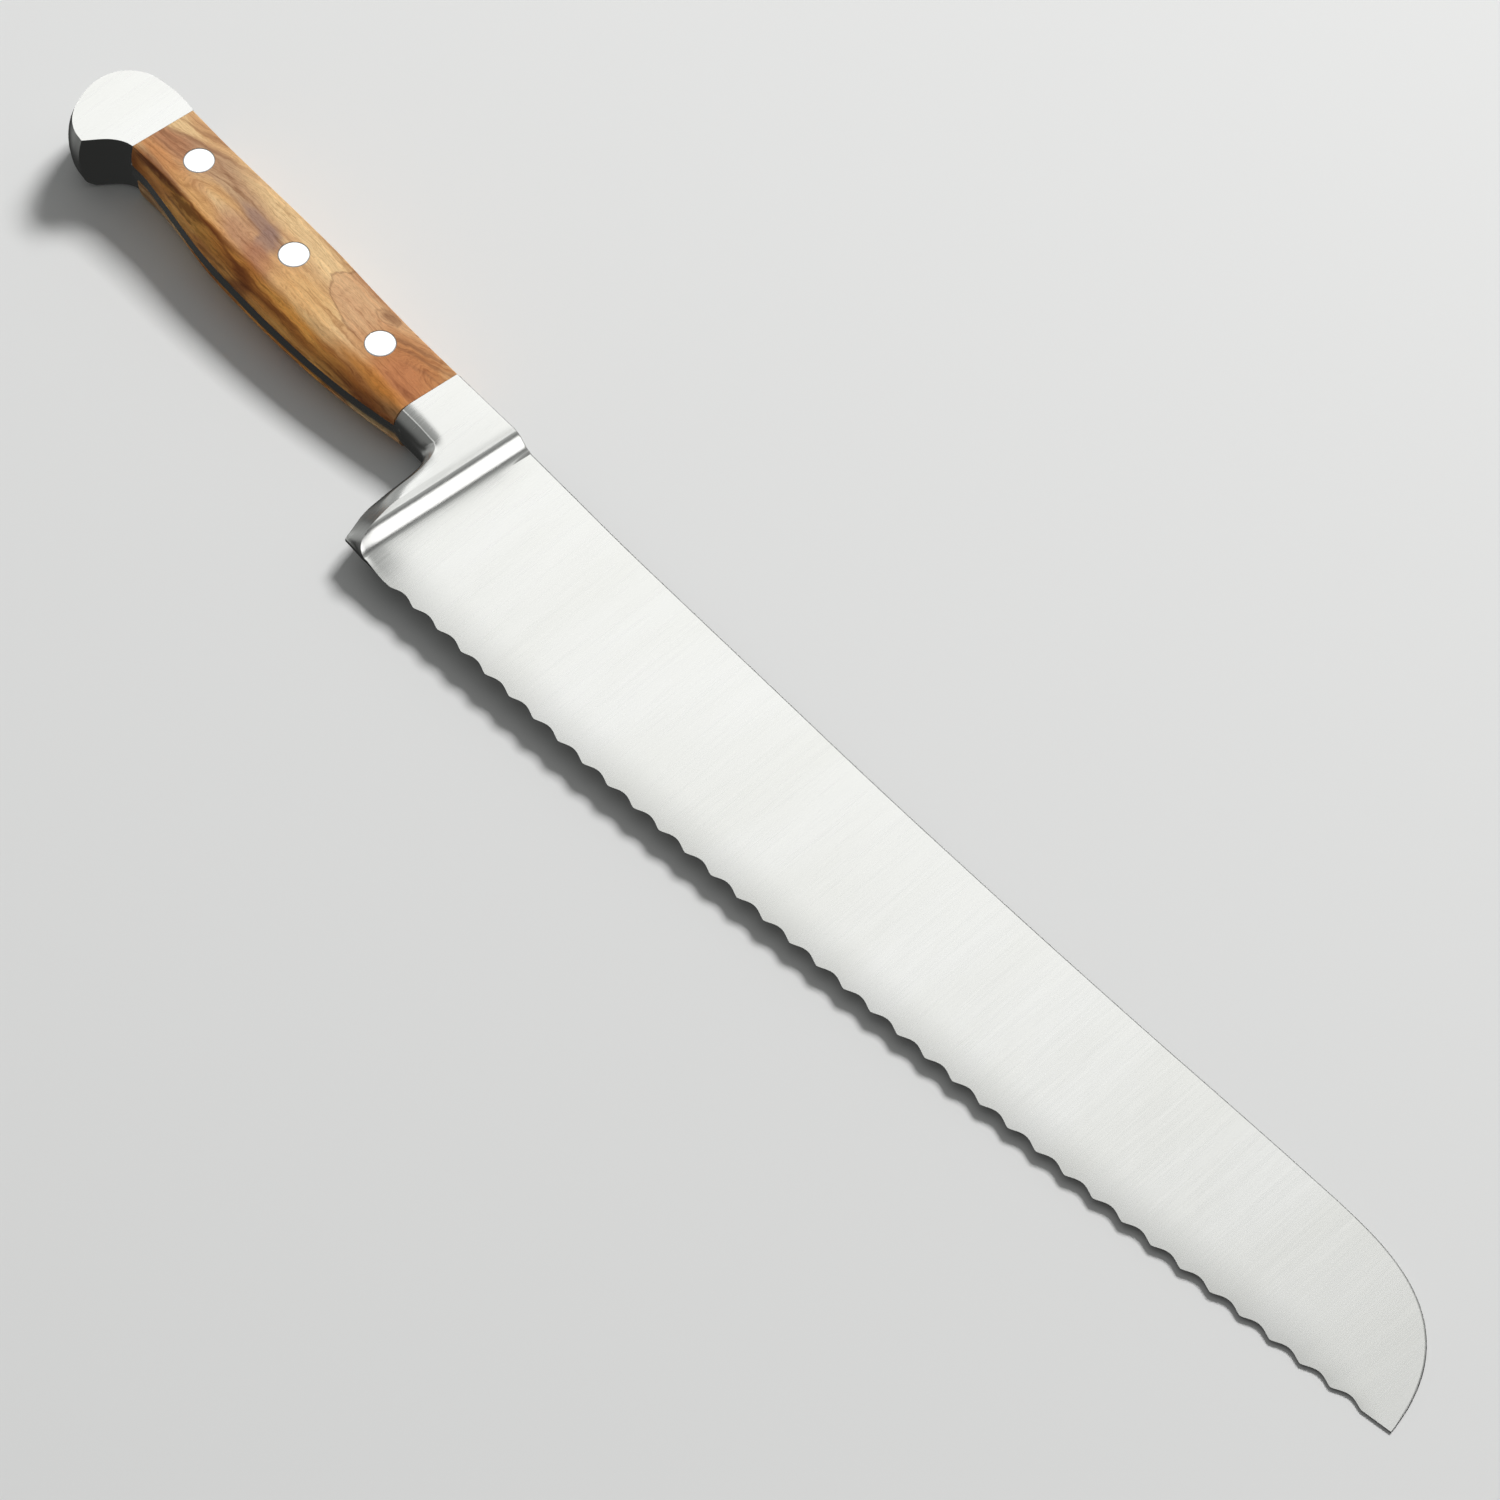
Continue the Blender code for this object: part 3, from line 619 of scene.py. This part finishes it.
def face_relief(place, squeeze):
    """How far the blade's face stands above its wedge: the fillet, less the fall near the edge."""
    x, y = place[..., 0], place[..., 1]
    u, v = x * COS - y * SIN, y * COS + x * SIN
    chord = curve(TOOTH_LINE, np.clip(x, TOOTH_LINE[0][0], TOOTH_LINE[-1][0]))
    from_edge = (y - chord) / (CONVEX_WIDTH * squeeze.clip(1e-6))
    near_edge = np.clip(1 - from_edge, 0.0, 1.0) ** 2
    corner = HEEL_DROP * np.clip(1 - x / HEEL_REACH, 0.0, 1.0) ** 2
    convex = (CONVEX_DROP + corner) * near_edge * ease(u, ROOT_U, CONVEX_FULL_U) * squeeze
    return fillet(np.maximum(u, ROOT_U), v) * (1 - ease(u, *FILLET_END)) - convex


def blade_rows(side):
    """Rows of points on one face of the blade, from its edge to its spine: the rows near the edge,
    those across the flat (needed only beside the bolster) and those round the spine."""
    edge, spine = blade_columns()
    height = np.linalg.norm(spine - edge, axis=1)
    direction = (spine - edge) / np.maximum(height, 1e-9)[:, None]
    squeeze = np.minimum(1.0, height / FULL_HEIGHT)
    radius = BLADE_ROUND * np.minimum(1.0, height / ROUND_HEIGHT)
    groups = []
    for distances in (LOW_OFFSETS, FLAT_OFFSETS):
        offsets = np.array(distances)[:, None] * squeeze
        place = edge + direction * offsets[..., None]
        z = blade_half(place[..., 0], place[..., 1]) + face_relief(place, squeeze)
        if side == -1:
            ground = np.clip(1 - offsets / (GROUND_WIDTH * squeeze.clip(1e-6)), 0.0, 1.0)
            ground = ground * np.minimum(1.0, TIP_FADE * squeeze)
            z = z - ground * ease(edge[:, 0], *GROUND_START) * (2 * z[:1] - EDGE_LEFT)
        groups.append(np.concatenate([place, side * z[..., None]], -1))
    offsets = np.array(HIGH_SHARES)[:, None] * radius
    place = spine - direction * offsets[..., None]
    z = blade_half(place[..., 0], place[..., 1])
    z = z - np.minimum(round_drop(offsets, radius.clip(1e-6)), z * ROUND_LIMIT)
    groups.append(np.concatenate([place, side * z[..., None]], -1))
    return groups


def forging_face(surface, side):
    """One face of the neck, guard, step and blade; the numbers of its grids."""
    guard, neck = [surface.add(grid * (1, 1, side)) for grid in guard_grid()]
    low, flat, high = [surface.add(group) for group in blade_rows(side)]
    for numbers in (guard, neck if side == 1 else neck[:, 1:], low, high):
        surface.grid(numbers)
    dense = DENSE_COLUMNS
    surface.grid(np.concatenate([low[-1:, :dense], flat[:, :dense], high[:1, :dense]]))
    # The flat beyond the bolster, with the last dense column as its first side.
    surface.face(np.concatenate([low[-1, dense - 1:], high[0, dense - 1:][::-1], flat[::-1, dense - 1]]))
    root = np.concatenate([low[:, 0], flat[:, 0], high[:, 0]])
    points = np.concatenate(surface.points)
    shares = []
    for row in (guard[:, -1], root):
        y = points[row, 1]
        shares.append((y - y[0]) / (y[-1] - y[0]))
    for face in zipper(guard[:, -1], shares[0], root, shares[1]):
        surface.face(face)
    return guard, neck, low, high


def make_forging_body(surface):
    """Neck, guard, step and blade: the two faces and the walls round them."""
    (g1, n1, low1, high1), (g2, n2, low2, high2) = [forging_face(surface, side) for side in (1, -1)]
    # The back, the cutting edge and the spine.
    for upper, lower in ((g1[-1], g2[-1]), (n1[-1, 2:], n2[-1, 2:]),
                         (low1[0], low2[0]), (high1[-1], high2[-1])):
        surface.grid(np.stack([upper, lower]))
    surface.face((g1[0, -1], low1[0, 0], low2[0, 0], g2[0, -1]))
    surface.face((g1[-1, -1], high1[-1, 0], high2[-1, 0], g2[-1, -1]))

    # The bevel and the wall below it, from the face's boundary to the middle plane.
    wall = placed(*np.moveaxis(bevel_profile(bevel_rows()), -1, 0))
    wall = np.concatenate([wall, wall[-1:] * (1, 1, 0)])
    upper_wall, lower_wall = surface.add(wall), surface.add(wall * (1, 1, -1))
    surface.grid(upper_wall)
    surface.grid(lower_wall[:, :-1])
    # The thin end of the guard at the heel, and the underside of the step.
    surface.face(np.concatenate([upper_wall[:, 0], lower_wall[::-1, 0]]))
    surface.grid(np.stack([g1[0], g2[0]]))

    # The shoulders that the scales meet, the left one a little nearer the tip.
    back_right, back_left = [surface.add(placed(u, curve(BACK_LINE, u), 0.0))
                             for u in (FRONT_U, FRONT_U + LEFT_SHIFT)]
    surface.face(np.concatenate([n1[:, 0], [back_right], upper_wall[::-1, -1]]))
    surface.face(np.concatenate([n2[:, 1], [back_left], lower_wall[::-1, -2]]))
    surface.face((upper_wall[-1, -1], back_right, back_left, lower_wall[-1, -2]))
    surface.face((n1[-1, 0], n1[-1, 1], back_left, back_right))
    surface.face((n1[-1, 1], n1[-1, 2], n2[-1, 2], n2[-1, 1], back_left))


def make_tang(surface):
    """The tang, flush with the scales, running on inside the pommel and the bolster."""
    u = np.linspace(REAR_U - TANG_OVERLAP, FRONT_U + LEFT_SHIFT + TANG_OVERLAP, HANDLE_STATIONS)
    inner = np.clip(u, REAR_U, FRONT_U)
    belly = curve(HANDLE_BELLY, inner) + JOINT
    back = curve(HANDLE_BACK, inner) - JOINT
    u = np.concatenate([u[0] - [TANG_REACH, TANG_STEP], u, u[-1] + [TANG_STEP, TANG_REACH]])
    inset = np.zeros(len(u))
    inset[[0, 1, -2, -1]] = TANG_INSET
    belly = np.pad(belly, 2, mode="edge") + inset
    back = np.pad(back, 2, mode="edge") - inset
    round_u, round_v = np.concatenate([u, u[::-1]]), np.concatenate([belly, back[::-1]])
    surface.loft([placed(round_u, round_v, z) for z in (-TANG_HALF, TANG_HALF)])


def pommel_ring(z, joint_u):
    """One level of the pommel's outline, from the back round to the belly."""
    arc = smooth_path(POMMEL_ARC, POMMEL_POINTS[0])
    belly = smooth_path(POMMEL_BELLY, POMMEL_POINTS[1])
    u, v = np.concatenate([arc, belly[1:]]).T
    heights, along, across = np.array(POMMEL_STRETCH).T
    stretch_u = curve(np.stack([heights, along], 1), z)
    stretch_v = curve(np.stack([heights, across], 1), z)
    blend = np.where(v > POMMEL_MIDDLE_V, np.clip((REAR_U - u) / POMMEL_BLEND, 0.0, 1.0), 1.0)
    u = REAR_U + (u - REAR_U) * stretch_u
    v = POMMEL_MIDDLE_V + (v - POMMEL_MIDDLE_V) * (1 + (stretch_v - 1) * blend)
    if joint_u != REAR_U:
        u = np.concatenate([[joint_u], u, [joint_u]])
        v = np.concatenate([v[:1], v, v[-1:]])
    return placed(u, v, z)


def make_pommel(surface):
    """The pommel: a barrel-sided outline between two flat faces."""
    levels = np.linspace(0.0, POMMEL_HALF, POMMEL_LEVELS)
    top = surface.add([pommel_ring(z, REAR_U) for z in levels])
    low = surface.add([pommel_ring(-z, REAR_U + LEFT_SHIFT) for z in levels[::-1]])
    for numbers in (top, low):
        surface.grid(numbers)
        surface.face(np.concatenate([numbers[:, 0], numbers[::-1, -1]]))
    surface.face(top[-1])
    surface.face(low[0])
    surface.face((low[-1, 0], low[-1, 1], low[-1, -2], low[-1, -1]))


def make_forging(material):
    """Blade, bolster, tang and pommel, joined into one piece."""
    meshes = []
    for name, build_part in (("forged_blade_body", make_forging_body), ("tang", make_tang),
                             ("pommel", make_pommel)):
        surface = Surface()
        build_part(surface)
        meshes.append(surface.mesh(name))
    mesh = combined(meshes[0], meshes[1:], "UNION")
    return new_piece("forged_knife", mesh, material, ["forged_blade"], 16.0)


# ---- handle

def scale_section(u):
    """Half of the handle's section at u: (v, z) from the tang's belly edge up and over to the back."""
    half, back, crease, belly = [float(curve(line, u)) for line in
                                 (HANDLE_HALF, HANDLE_BACK, HANDLE_CREASE, HANDLE_BELLY)]
    t = np.linspace(0.0, 1.0, FACET_POINTS)
    past = np.linspace(0.0, 1.0, ARC_POINTS)[1:] * CREASE_REACH
    slope = (half - TANG_HALF) / (FACET_POWER * (crease - belly))
    facet_v = np.concatenate([belly + (crease - belly) * t ** FACET_POWER, crease + past])
    # The facet's line, carried on past the crease and softly held down to the flat.
    free = np.concatenate([TANG_HALF + (half - TANG_HALF) * t, half + past * slope])
    facet_z = -CREASE_SOFT * np.log(np.exp(-free / CREASE_SOFT) + math.exp(-half / CREASE_SOFT))
    facet_z[0] = TANG_HALF
    flat = np.linspace(facet_v[-1], back - BACK_ROUND, FLAT_POINTS)[1:]
    angle = np.linspace(0.0, np.pi / 2, ARC_POINTS)[1:]
    corner_v = back - BACK_ROUND + BACK_ROUND * np.sin(angle)
    corner_z = half - BACK_ROUND + BACK_ROUND * np.cos(angle)
    v = np.concatenate([facet_v, flat, corner_v, [back]])
    z = np.concatenate([facet_z, np.full(len(flat), half), corner_z, [TANG_HALF]])
    return v, z


def make_scale(name, side, material):
    """One wooden scale; side is 1 for the right scale and -1 for the left one."""
    shift = 0.0 if side == 1 else LEFT_SHIFT
    rings = []
    for u in np.linspace(REAR_U + JOINT, FRONT_U - JOINT, HANDLE_STATIONS):
        v, z = scale_section(u)
        rings.append(placed(u + shift, v, side * z))
    surface = Surface()
    surface.loft(rings)
    holes = [rivet_hole(u, v, side) for _, u, v in RIVET_CENTRES]
    mesh = combined(surface.mesh(name), holes, "DIFFERENCE")
    return new_piece(name, mesh, material, [name.replace("wood_", "")], 50.0)


def rivet_hole(u, v, side):
    """The solid to cut out of a scale for a rivet's head."""
    middle = Vector((*to_blade(u, v), side * HOLE_MIDDLE)) * MM + ORIGIN
    radius = (RIVET_HEAD_RADIUS + HOLE_GAP) * MM
    bm = bmesh.new()
    bmesh.ops.create_cone(bm, cap_ends=True, segments=RIVET_SEGMENTS, radius1=radius,
                          radius2=radius, depth=HOLE_DEPTH * MM, matrix=Matrix.Translation(middle))
    mesh = bpy.data.meshes.new("rivet_hole")
    bm.to_mesh(mesh)
    bm.free()
    return mesh


def make_rivet(place, u, v, side, material):
    """A rivet's head, ground flush with the scale and slightly crowned."""
    x, y = to_blade(u, v)
    angles = np.linspace(0.0, 2 * np.pi, RIVET_SEGMENTS + 1)[:-1]
    r = RIVET_HEAD_RADIUS
    profile = [(0.0, 0.0)] + [(r * share, 0.0) for share in RIVET_SHARES]
    profile += [(r, -RIVET_CHAMFER), (r, -RIVET_SIDE), (r, -RIVET_HEAD_DEPTH),
                (RIVET_SHANK_RADIUS, -RIVET_HEAD_DEPTH), (RIVET_SHANK_RADIUS, -RIVET_DEPTH)]
    rings = []
    for radius, drop in profile:
        across, up = radius * np.cos(angles), radius * np.sin(angles)
        crown = RIVET_CROWN * (1 - (radius / r) ** 2)
        z = curve(HANDLE_HALF, u + across * COS - up * SIN) + crown + drop
        rings.append(np.stack([x + across, y + up, side * z], -1))
    surface = Surface()
    numbers = surface.loft(rings[1:], caps=(-1,))
    centre = surface.add(rings[0][:1])
    for i in range(RIVET_SEGMENTS):
        surface.face((centre[0], numbers[0, i], numbers[0, (i + 1) % RIVET_SEGMENTS]))
    node = "rivet_" + place + ("_tube" if side == 1 else "_stem")
    name = "head_of_" + node
    return new_piece(name, surface.mesh(name), material, [node], 35.0)


# ---- materials

def feed(tree, socket, value):
    """Set a socket to a number, a vector or a colour, or link another socket to it."""
    if isinstance(value, (int, float)):
        socket.default_value = value
    elif isinstance(value, tuple):
        socket.default_value = (*value, 1.0) if socket.type == "RGBA" else value
    else:
        tree.links.new(value, socket)


def new_node(tree, kind, inputs):
    """A new node with its named inputs fed."""
    node = tree.nodes.new("ShaderNode" + kind)
    for name, value in inputs.items():
        feed(tree, node.inputs[name], value)
    return node


def new_material(name, inputs):
    """A material with its node tree and its shader, whose named inputs are fed."""
    material = bpy.data.materials.new(name)
    material.use_nodes = True
    tree = material.node_tree
    shader = tree.nodes["Principled BSDF"]
    for key, value in inputs.items():
        feed(tree, shader.inputs[key], value)
    return material, tree, shader


def object_place(tree):
    """Places on the object, in metres."""
    return tree.nodes.new("ShaderNodeTexCoord").outputs["Object"]


def mapped(tree, vector, kind="POINT", shift=(0.0, 0.0, 0.0), turn=0.0, scale=(1.0, 1.0, 1.0)):
    """The vector scaled per axis, turned about z and shifted."""
    node = new_node(tree, "Mapping", {"Vector": vector, "Location": shift,
                                      "Rotation": (0.0, 0.0, turn), "Scale": scale})
    node.vector_type = kind
    return node.outputs["Vector"]


def vector_math(tree, operation, *values):
    """A vector math node's result; its inputs are sockets or vectors."""
    node = tree.nodes.new("ShaderNodeVectorMath")
    node.operation = operation
    for socket, value in zip(node.inputs, values):
        feed(tree, socket, value)
    return node.outputs["Value" if operation in ("LENGTH", "DOT_PRODUCT") else "Vector"]


def axes(tree, vector):
    """The vector's parts, as sockets named X, Y and Z."""
    return new_node(tree, "SeparateXYZ", {"Vector": vector}).outputs


def noise(tree, vector, scale, detail=3.0, roughness=0.5, shift=(0.0, 0.0, 0.0), output="Fac"):
    """Noise over the vector, scaled per axis."""
    inputs = {"Vector": mapped(tree, vector, shift=shift, scale=scale), "Scale": 1.0,
              "Detail": detail, "Roughness": roughness}
    return new_node(tree, "TexNoise", inputs).outputs[output]


def ramp(tree, value, stops):
    """A colour ramp; each stop is (place, colour)."""
    node = tree.nodes.new("ShaderNodeValToRGB")
    elements = node.color_ramp.elements
    while len(elements) < len(stops):
        elements.new(0.5)
    for element, (place, colour) in zip(elements, stops):
        element.position = place
        element.color = (*colour, 1.0)
    tree.links.new(value, node.inputs["Fac"])
    return node.outputs["Color"]


def spread(tree, value, low, high, new_low=0.0, new_high=1.0, kind="LINEAR"):
    """Map a range of values onto another."""
    node = new_node(tree, "MapRange", {"Value": value, "From Min": low, "From Max": high,
                                       "To Min": new_low, "To Max": new_high})
    node.interpolation_type = kind
    return node.outputs["Result"]


def eased(tree, value, low, high, new_low=0.0, new_high=1.0):
    """Like spread, with a smooth start and end."""
    return spread(tree, value, low, high, new_low, new_high, "SMOOTHSTEP")


def math_node(tree, operation, *values):
    """A math node's result; its inputs are sockets or numbers."""
    node = tree.nodes.new("ShaderNodeMath")
    node.operation = operation
    for socket, value in zip(node.inputs, values):
        feed(tree, socket, value)
    return node.outputs["Value"]


def mix_colour(tree, share, first, second, blend="MIX"):
    """Mix two colours; each is a socket or a colour."""
    node = tree.nodes.new("ShaderNodeMix")
    node.data_type = "RGBA"
    node.blend_type = blend
    feed(tree, [s for s in node.inputs if s.name == "Factor" and s.type == "VALUE"][0], share)
    for name, value in (("A", first), ("B", second)):
        feed(tree, [s for s in node.inputs if s.name == name and s.type == "RGBA"][0], value)
    return [s for s in node.outputs if s.type == "RGBA"][0]


def tinted(tree, share, colour, tint):
    """The colour, multiplied by a tint as far as share says."""
    return mix_colour(tree, share, colour, mix_colour(tree, 1.0, colour, tint, "MULTIPLY"))


def dress(tree, shader, colour, relief, roughness, strength, distance):
    """Give the shader its colour, and a roughness and a bump that follow the relief."""
    bump = new_node(tree, "Bump", {"Strength": strength, "Distance": distance, "Height": relief})
    feed(tree, shader.inputs["Base Color"], colour)
    feed(tree, shader.inputs["Roughness"], spread(tree, relief, 0.3, 0.7, *roughness))
    feed(tree, shader.inputs["Normal"], bump.outputs["Normal"])


def satin_steel():
    """Satin steel, ground across the blade."""
    material, tree, shader = new_material("satin_steel", {"Metallic": 1.0})
    place = object_place(tree)
    lines = noise(tree, place, (2600.0, 55.0, 260.0), detail=4.0, roughness=0.6)
    broad = noise(tree, place, (60.0, 18.0, 20.0), detail=2.0)
    # The lines fade out on the walls, where the grinding doesn't reach.
    normal = axes(tree, tree.nodes.new("ShaderNodeNewGeometry").outputs["Normal"])
    facing = spread(tree, math_node(tree, "ABSOLUTE", normal["Z"]), 0.5, 0.9)
    centred = math_node(tree, "MULTIPLY", math_node(tree, "SUBTRACT", lines, 0.5), facing)
    lines = math_node(tree, "ADD", centred, 0.5)
    colour = mix_colour(tree, spread(tree, lines, 0.3, 0.7), (0.78, 0.78, 0.76), (0.865, 0.865, 0.845))
    colour = tinted(tree, spread(tree, broad, 0.35, 0.65), colour, (0.97, 0.97, 0.96))
    dress(tree, shader, colour, lines, (0.22, 0.29), 0.05, 0.000025)
    return material


def polished_steel():
    """The rivets' heads."""
    material, tree, shader = new_material("polished_steel", {"Metallic": 1.0})
    scratches = noise(tree, mapped(tree, object_place(tree), turn=0.7), (900.0, 2200.0, 900.0))
    colour = mix_colour(tree, spread(tree, scratches, 0.3, 0.7), (0.90, 0.90, 0.90), (0.95, 0.95, 0.95))
    dress(tree, shader, colour, scratches, (0.08, 0.15), 0.03, 0.00002)
    return material


def tone(name):
    """A colour of the wood as seen under the studio light, as the base colour that gives it."""
    return tuple(max(((c + 0.055) / 1.055) ** 2.4 - WOOD_SHEEN, 0.004) / WOOD_LIGHT for c in WOOD[name])


def handle_millimetres(tree, shift):
    """Places in the handle frame, in millimetres."""
    centred = mapped(tree, object_place(tree), shift=tuple(-ORIGIN + Vector(shift) * MM))
    return mapped(tree, centred, turn=HANDLE_ANGLE, scale=(1 / MM, 1 / MM, 1 / MM))


def oval(tree, vector, u, v, length, width, turn):
    """How far a place is from an oval's centre, 1 on its outline."""
    inner = mapped(tree, vector, "TEXTURE", (u, v, 0.0), math.radians(turn), (length, width, 1e4))
    return vector_math(tree, "LENGTH", inner)


def warped(tree, vector, reach, scale, seed):
    """The vector moved about by a smooth noise."""
    cloud = noise(tree, vector, scale, detail=2.0, shift=(seed, 2 * seed, 0.0), output="Color")
    centred = vector_math(tree, "SUBTRACT", cloud, (0.5, 0.5, 0.5))
    return vector_math(tree, "MULTIPLY_ADD", centred, reach, vector)


def grain_flow(tree, vector):
    """The vector with v bent, so that lines of equal v follow the grain: it rises from the rear
    towards the back, and again beside the bolster."""
    parts = axes(tree, vector)
    bent = parts["Y"]
    for u_from, u_to, v_from, v_to, rise in GRAIN_RISES:
        amount = math_node(tree, "MULTIPLY", eased(tree, parts["X"], u_from, u_to, 0.0, rise),
                           eased(tree, parts["Y"], v_from, v_to))
        bent = math_node(tree, "SUBTRACT", bent, amount)
    joined = new_node(tree, "CombineXYZ", {"X": parts["X"], "Y": bent, "Z": parts["Z"]})
    return joined.outputs["Vector"]


def paint_patches(tree, vector, colour, patches):
    """The colour with ovals, or lines round ovals, painted on it."""
    for u, v, length, width, turn, softness, strength, paint in patches:
        distance = oval(tree, vector, u, v, length, width, turn)
        if softness > 0:
            inside = eased(tree, distance, 1 - softness / 2, 1 + softness / 2, strength, 0.0)
        else:
            off = math_node(tree, "ABSOLUTE", math_node(tree, "SUBTRACT", distance, 1.0))
            inside = eased(tree, off, 0.0, -softness, strength, 0.0)
        colour = mix_colour(tree, inside, colour, tone(paint))
    return colour


def olive_wood(name, shift, patches):
    """Oiled olive wood: tan, with coloured patches, growth lines and fine fibres along the handle."""
    material, tree, shader = new_material(name, {"Specular IOR Level": 0.4})
    place = handle_millimetres(tree, shift)
    soft = warped(tree, place, (5.0, 2.4, 2.0), (0.09, 0.28, 0.1), 3.0)
    soft = warped(tree, soft, (1.2, 0.5, 0.5), (0.5, 1.4, 0.5), 7.0)
    flow = grain_flow(tree, soft)
    broad = noise(tree, flow, (0.028, 0.30, 0.2), detail=2.0)
    colour = ramp(tree, broad, [(0.30, tone("brown")), (0.46, tone("tan")),
                                (0.60, tone("pale")), (0.75, tone("tan"))])
    colour = paint_patches(tree, soft, colour, patches)
    growth = noise(tree, flow, (0.022, 1.15, 0.6), roughness=0.6)
    colour = tinted(tree, eased(tree, growth, 0.50, 0.70, 0.0, 0.8), colour, (0.62, 0.50, 0.40))
    colour = tinted(tree, eased(tree, growth, 0.46, 0.30, 0.0, 0.7), colour, (1.20, 1.17, 1.12))
    fibre = noise(tree, flow, (0.30, 4.2, 4.2), detail=5.0, roughness=0.7)
    colour = tinted(tree, spread(tree, fibre, 0.46, 0.68, 0.0, 0.85), colour, (0.66, 0.58, 0.52))
    speckle = noise(tree, soft, (2.2, 3.4, 3.4), roughness=0.7)
    colour = tinted(tree, spread(tree, speckle, 0.45, 0.70, 0.0, 0.6), colour, (1.16, 1.14, 1.10))
    colour = facet_stripes_and_shade(tree, soft, colour)
    dress(tree, shader, colour, fibre, (0.34, 0.46), 0.18, 0.00006)
    return material


def facet_stripes_and_shade(tree, vector, colour):
    """The belly facet: tinted a deeper, darker golden brown, partly the wood's colour and partly painted
    shade of the grazing light on it, with dark stripes where it cuts across the growth rings.
    """
    rings = noise(tree, vector, (0.035, 0.75, 0.75), roughness=0.55)
    below = eased(tree, axes(tree, vector)["Y"], *FACET_BLEND)
    # Painted shade: the facet below the crease is tinted darker golden brown, partly the wood's own
    # colour and partly the shade of the grazing light on it.
    colour = tinted(tree, below, colour, (1.02, 0.72, 0.31))
    stripe = math_node(tree, "MULTIPLY", below, eased(tree, rings, 0.50, 0.66, 0.0, 0.6))
    return mix_colour(tree, stripe, colour, tone("stripe"))


def floor_material():
    """Plain pale matt floor."""
    inputs = {"Base Color": FLOOR_COLOUR, "Roughness": 0.9, "Specular IOR Level": 0.0}
    return new_material("pale_floor", inputs)[0]


# ---- stage

def make_floor():
    """A plane that the handle and the tip lie on."""
    tip_x, tip_y = tip_point()
    tip_low = Vector((tip_x, tip_y, -blade_half(tip_x, tip_y))) * MM + ORIGIN
    points = []
    for x, y in ((-1, -1), (1, -1), (1, 1), (-1, 1)):
        rise = REST_SLOPE * (x * FLOOR_HALF - tip_low.x)
        points.append((x * FLOOR_HALF, y * FLOOR_HALF, tip_low.z + rise - FLOOR_GAP))
    mesh = bpy.data.meshes.new("floor")
    mesh.from_pydata(points, [], [(0, 1, 2, 3)])
    mesh.materials.append(floor_material())
    floor = linked("floor", mesh)
    floor.visible_glossy = False


def add_light(name, direction, distance, size, radiance, kind):
    """A soft box in a direction from the knife. One of kind "matt" lights the floor and the wood, and
    one of kind "gloss" shows in the steel."""
    data = bpy.data.lights.new(name, "AREA")
    data.shape = "RECTANGLE"
    data.size, data.size_y = size
    data.energy = radiance * math.pi * size[0] * size[1]
    light = linked(name, data)
    direction = Vector(direction).normalized()
    light.location = direction * distance
    across = (Vector((1.0, 0.0, 0.0)) - direction * direction.x).normalized()
    light.rotation_euler = Matrix((across, direction.cross(across), direction)).transposed().to_euler()
    light.visible_glossy = kind == "gloss"
    light.visible_diffuse = kind == "matt"


def make_world():
    """A pale backdrop; in reflections, a dark surround with a broad glow and three weaker ones."""
    world = bpy.data.worlds.new("studio")
    world.use_nodes = True
    tree = world.node_tree
    background = tree.nodes["Background"]
    place = tree.nodes.new("ShaderNodeTexCoord").outputs["Generated"]
    path = tree.nodes.new("ShaderNodeLightPath")
    total = 0.0
    for direction, low, high, dim, bright in SURROUND:
        facing = vector_math(tree, "DOT_PRODUCT", place, tuple(Vector(direction).normalized()))
        total = math_node(tree, "ADD", total, eased(tree, facing, low, high, dim, bright))
    backdrop = math_node(tree, "MULTIPLY", path.outputs["Is Camera Ray"], BACKDROP_LEVEL)
    feed(tree, background.inputs["Strength"], math_node(tree, "MAXIMUM", total, backdrop))
    feed(tree, background.inputs["Color"], BACKDROP_COLOUR)
    bpy.context.scene.world = world


def make_camera():
    """The camera, at the place and angle that the knife is seen from."""
    data = bpy.data.cameras.new("camera")
    data.sensor_width = 36.0
    data.lens = CAMERA_LENS
    data.clip_start = 0.05
    camera = linked("camera", data)
    right, up = Vector(CAMERA_RIGHT), Vector(CAMERA_UP)
    turn = Matrix((right, up, right.cross(up))).transposed().to_4x4()
    camera.matrix_world = Matrix.Translation(Vector(CAMERA_PLACE) * MM + ORIGIN) @ turn
    bpy.context.scene.camera = camera


# ---- build

def build():
    """Every piece, then the stage."""
    steel, polished = satin_steel(), polished_steel()
    make_forging(steel)
    make_scale("wood_right_scale", 1, olive_wood("olive_wood_right", (0.0, 0.0, 0.0), WOOD_PATCHES))
    make_scale("wood_left_scale", -1, olive_wood("olive_wood_left", (37.0, 0.0, 60.0), ()))
    for place, u, v in RIVET_CENTRES:
        for side in (1, -1):
            make_rivet(place, u, v, side, polished)
    make_floor()
    make_world()
    for row in LIGHTS:
        add_light(*row)
    make_camera()
    bpy.context.scene.view_settings.view_transform = "Standard"


build()
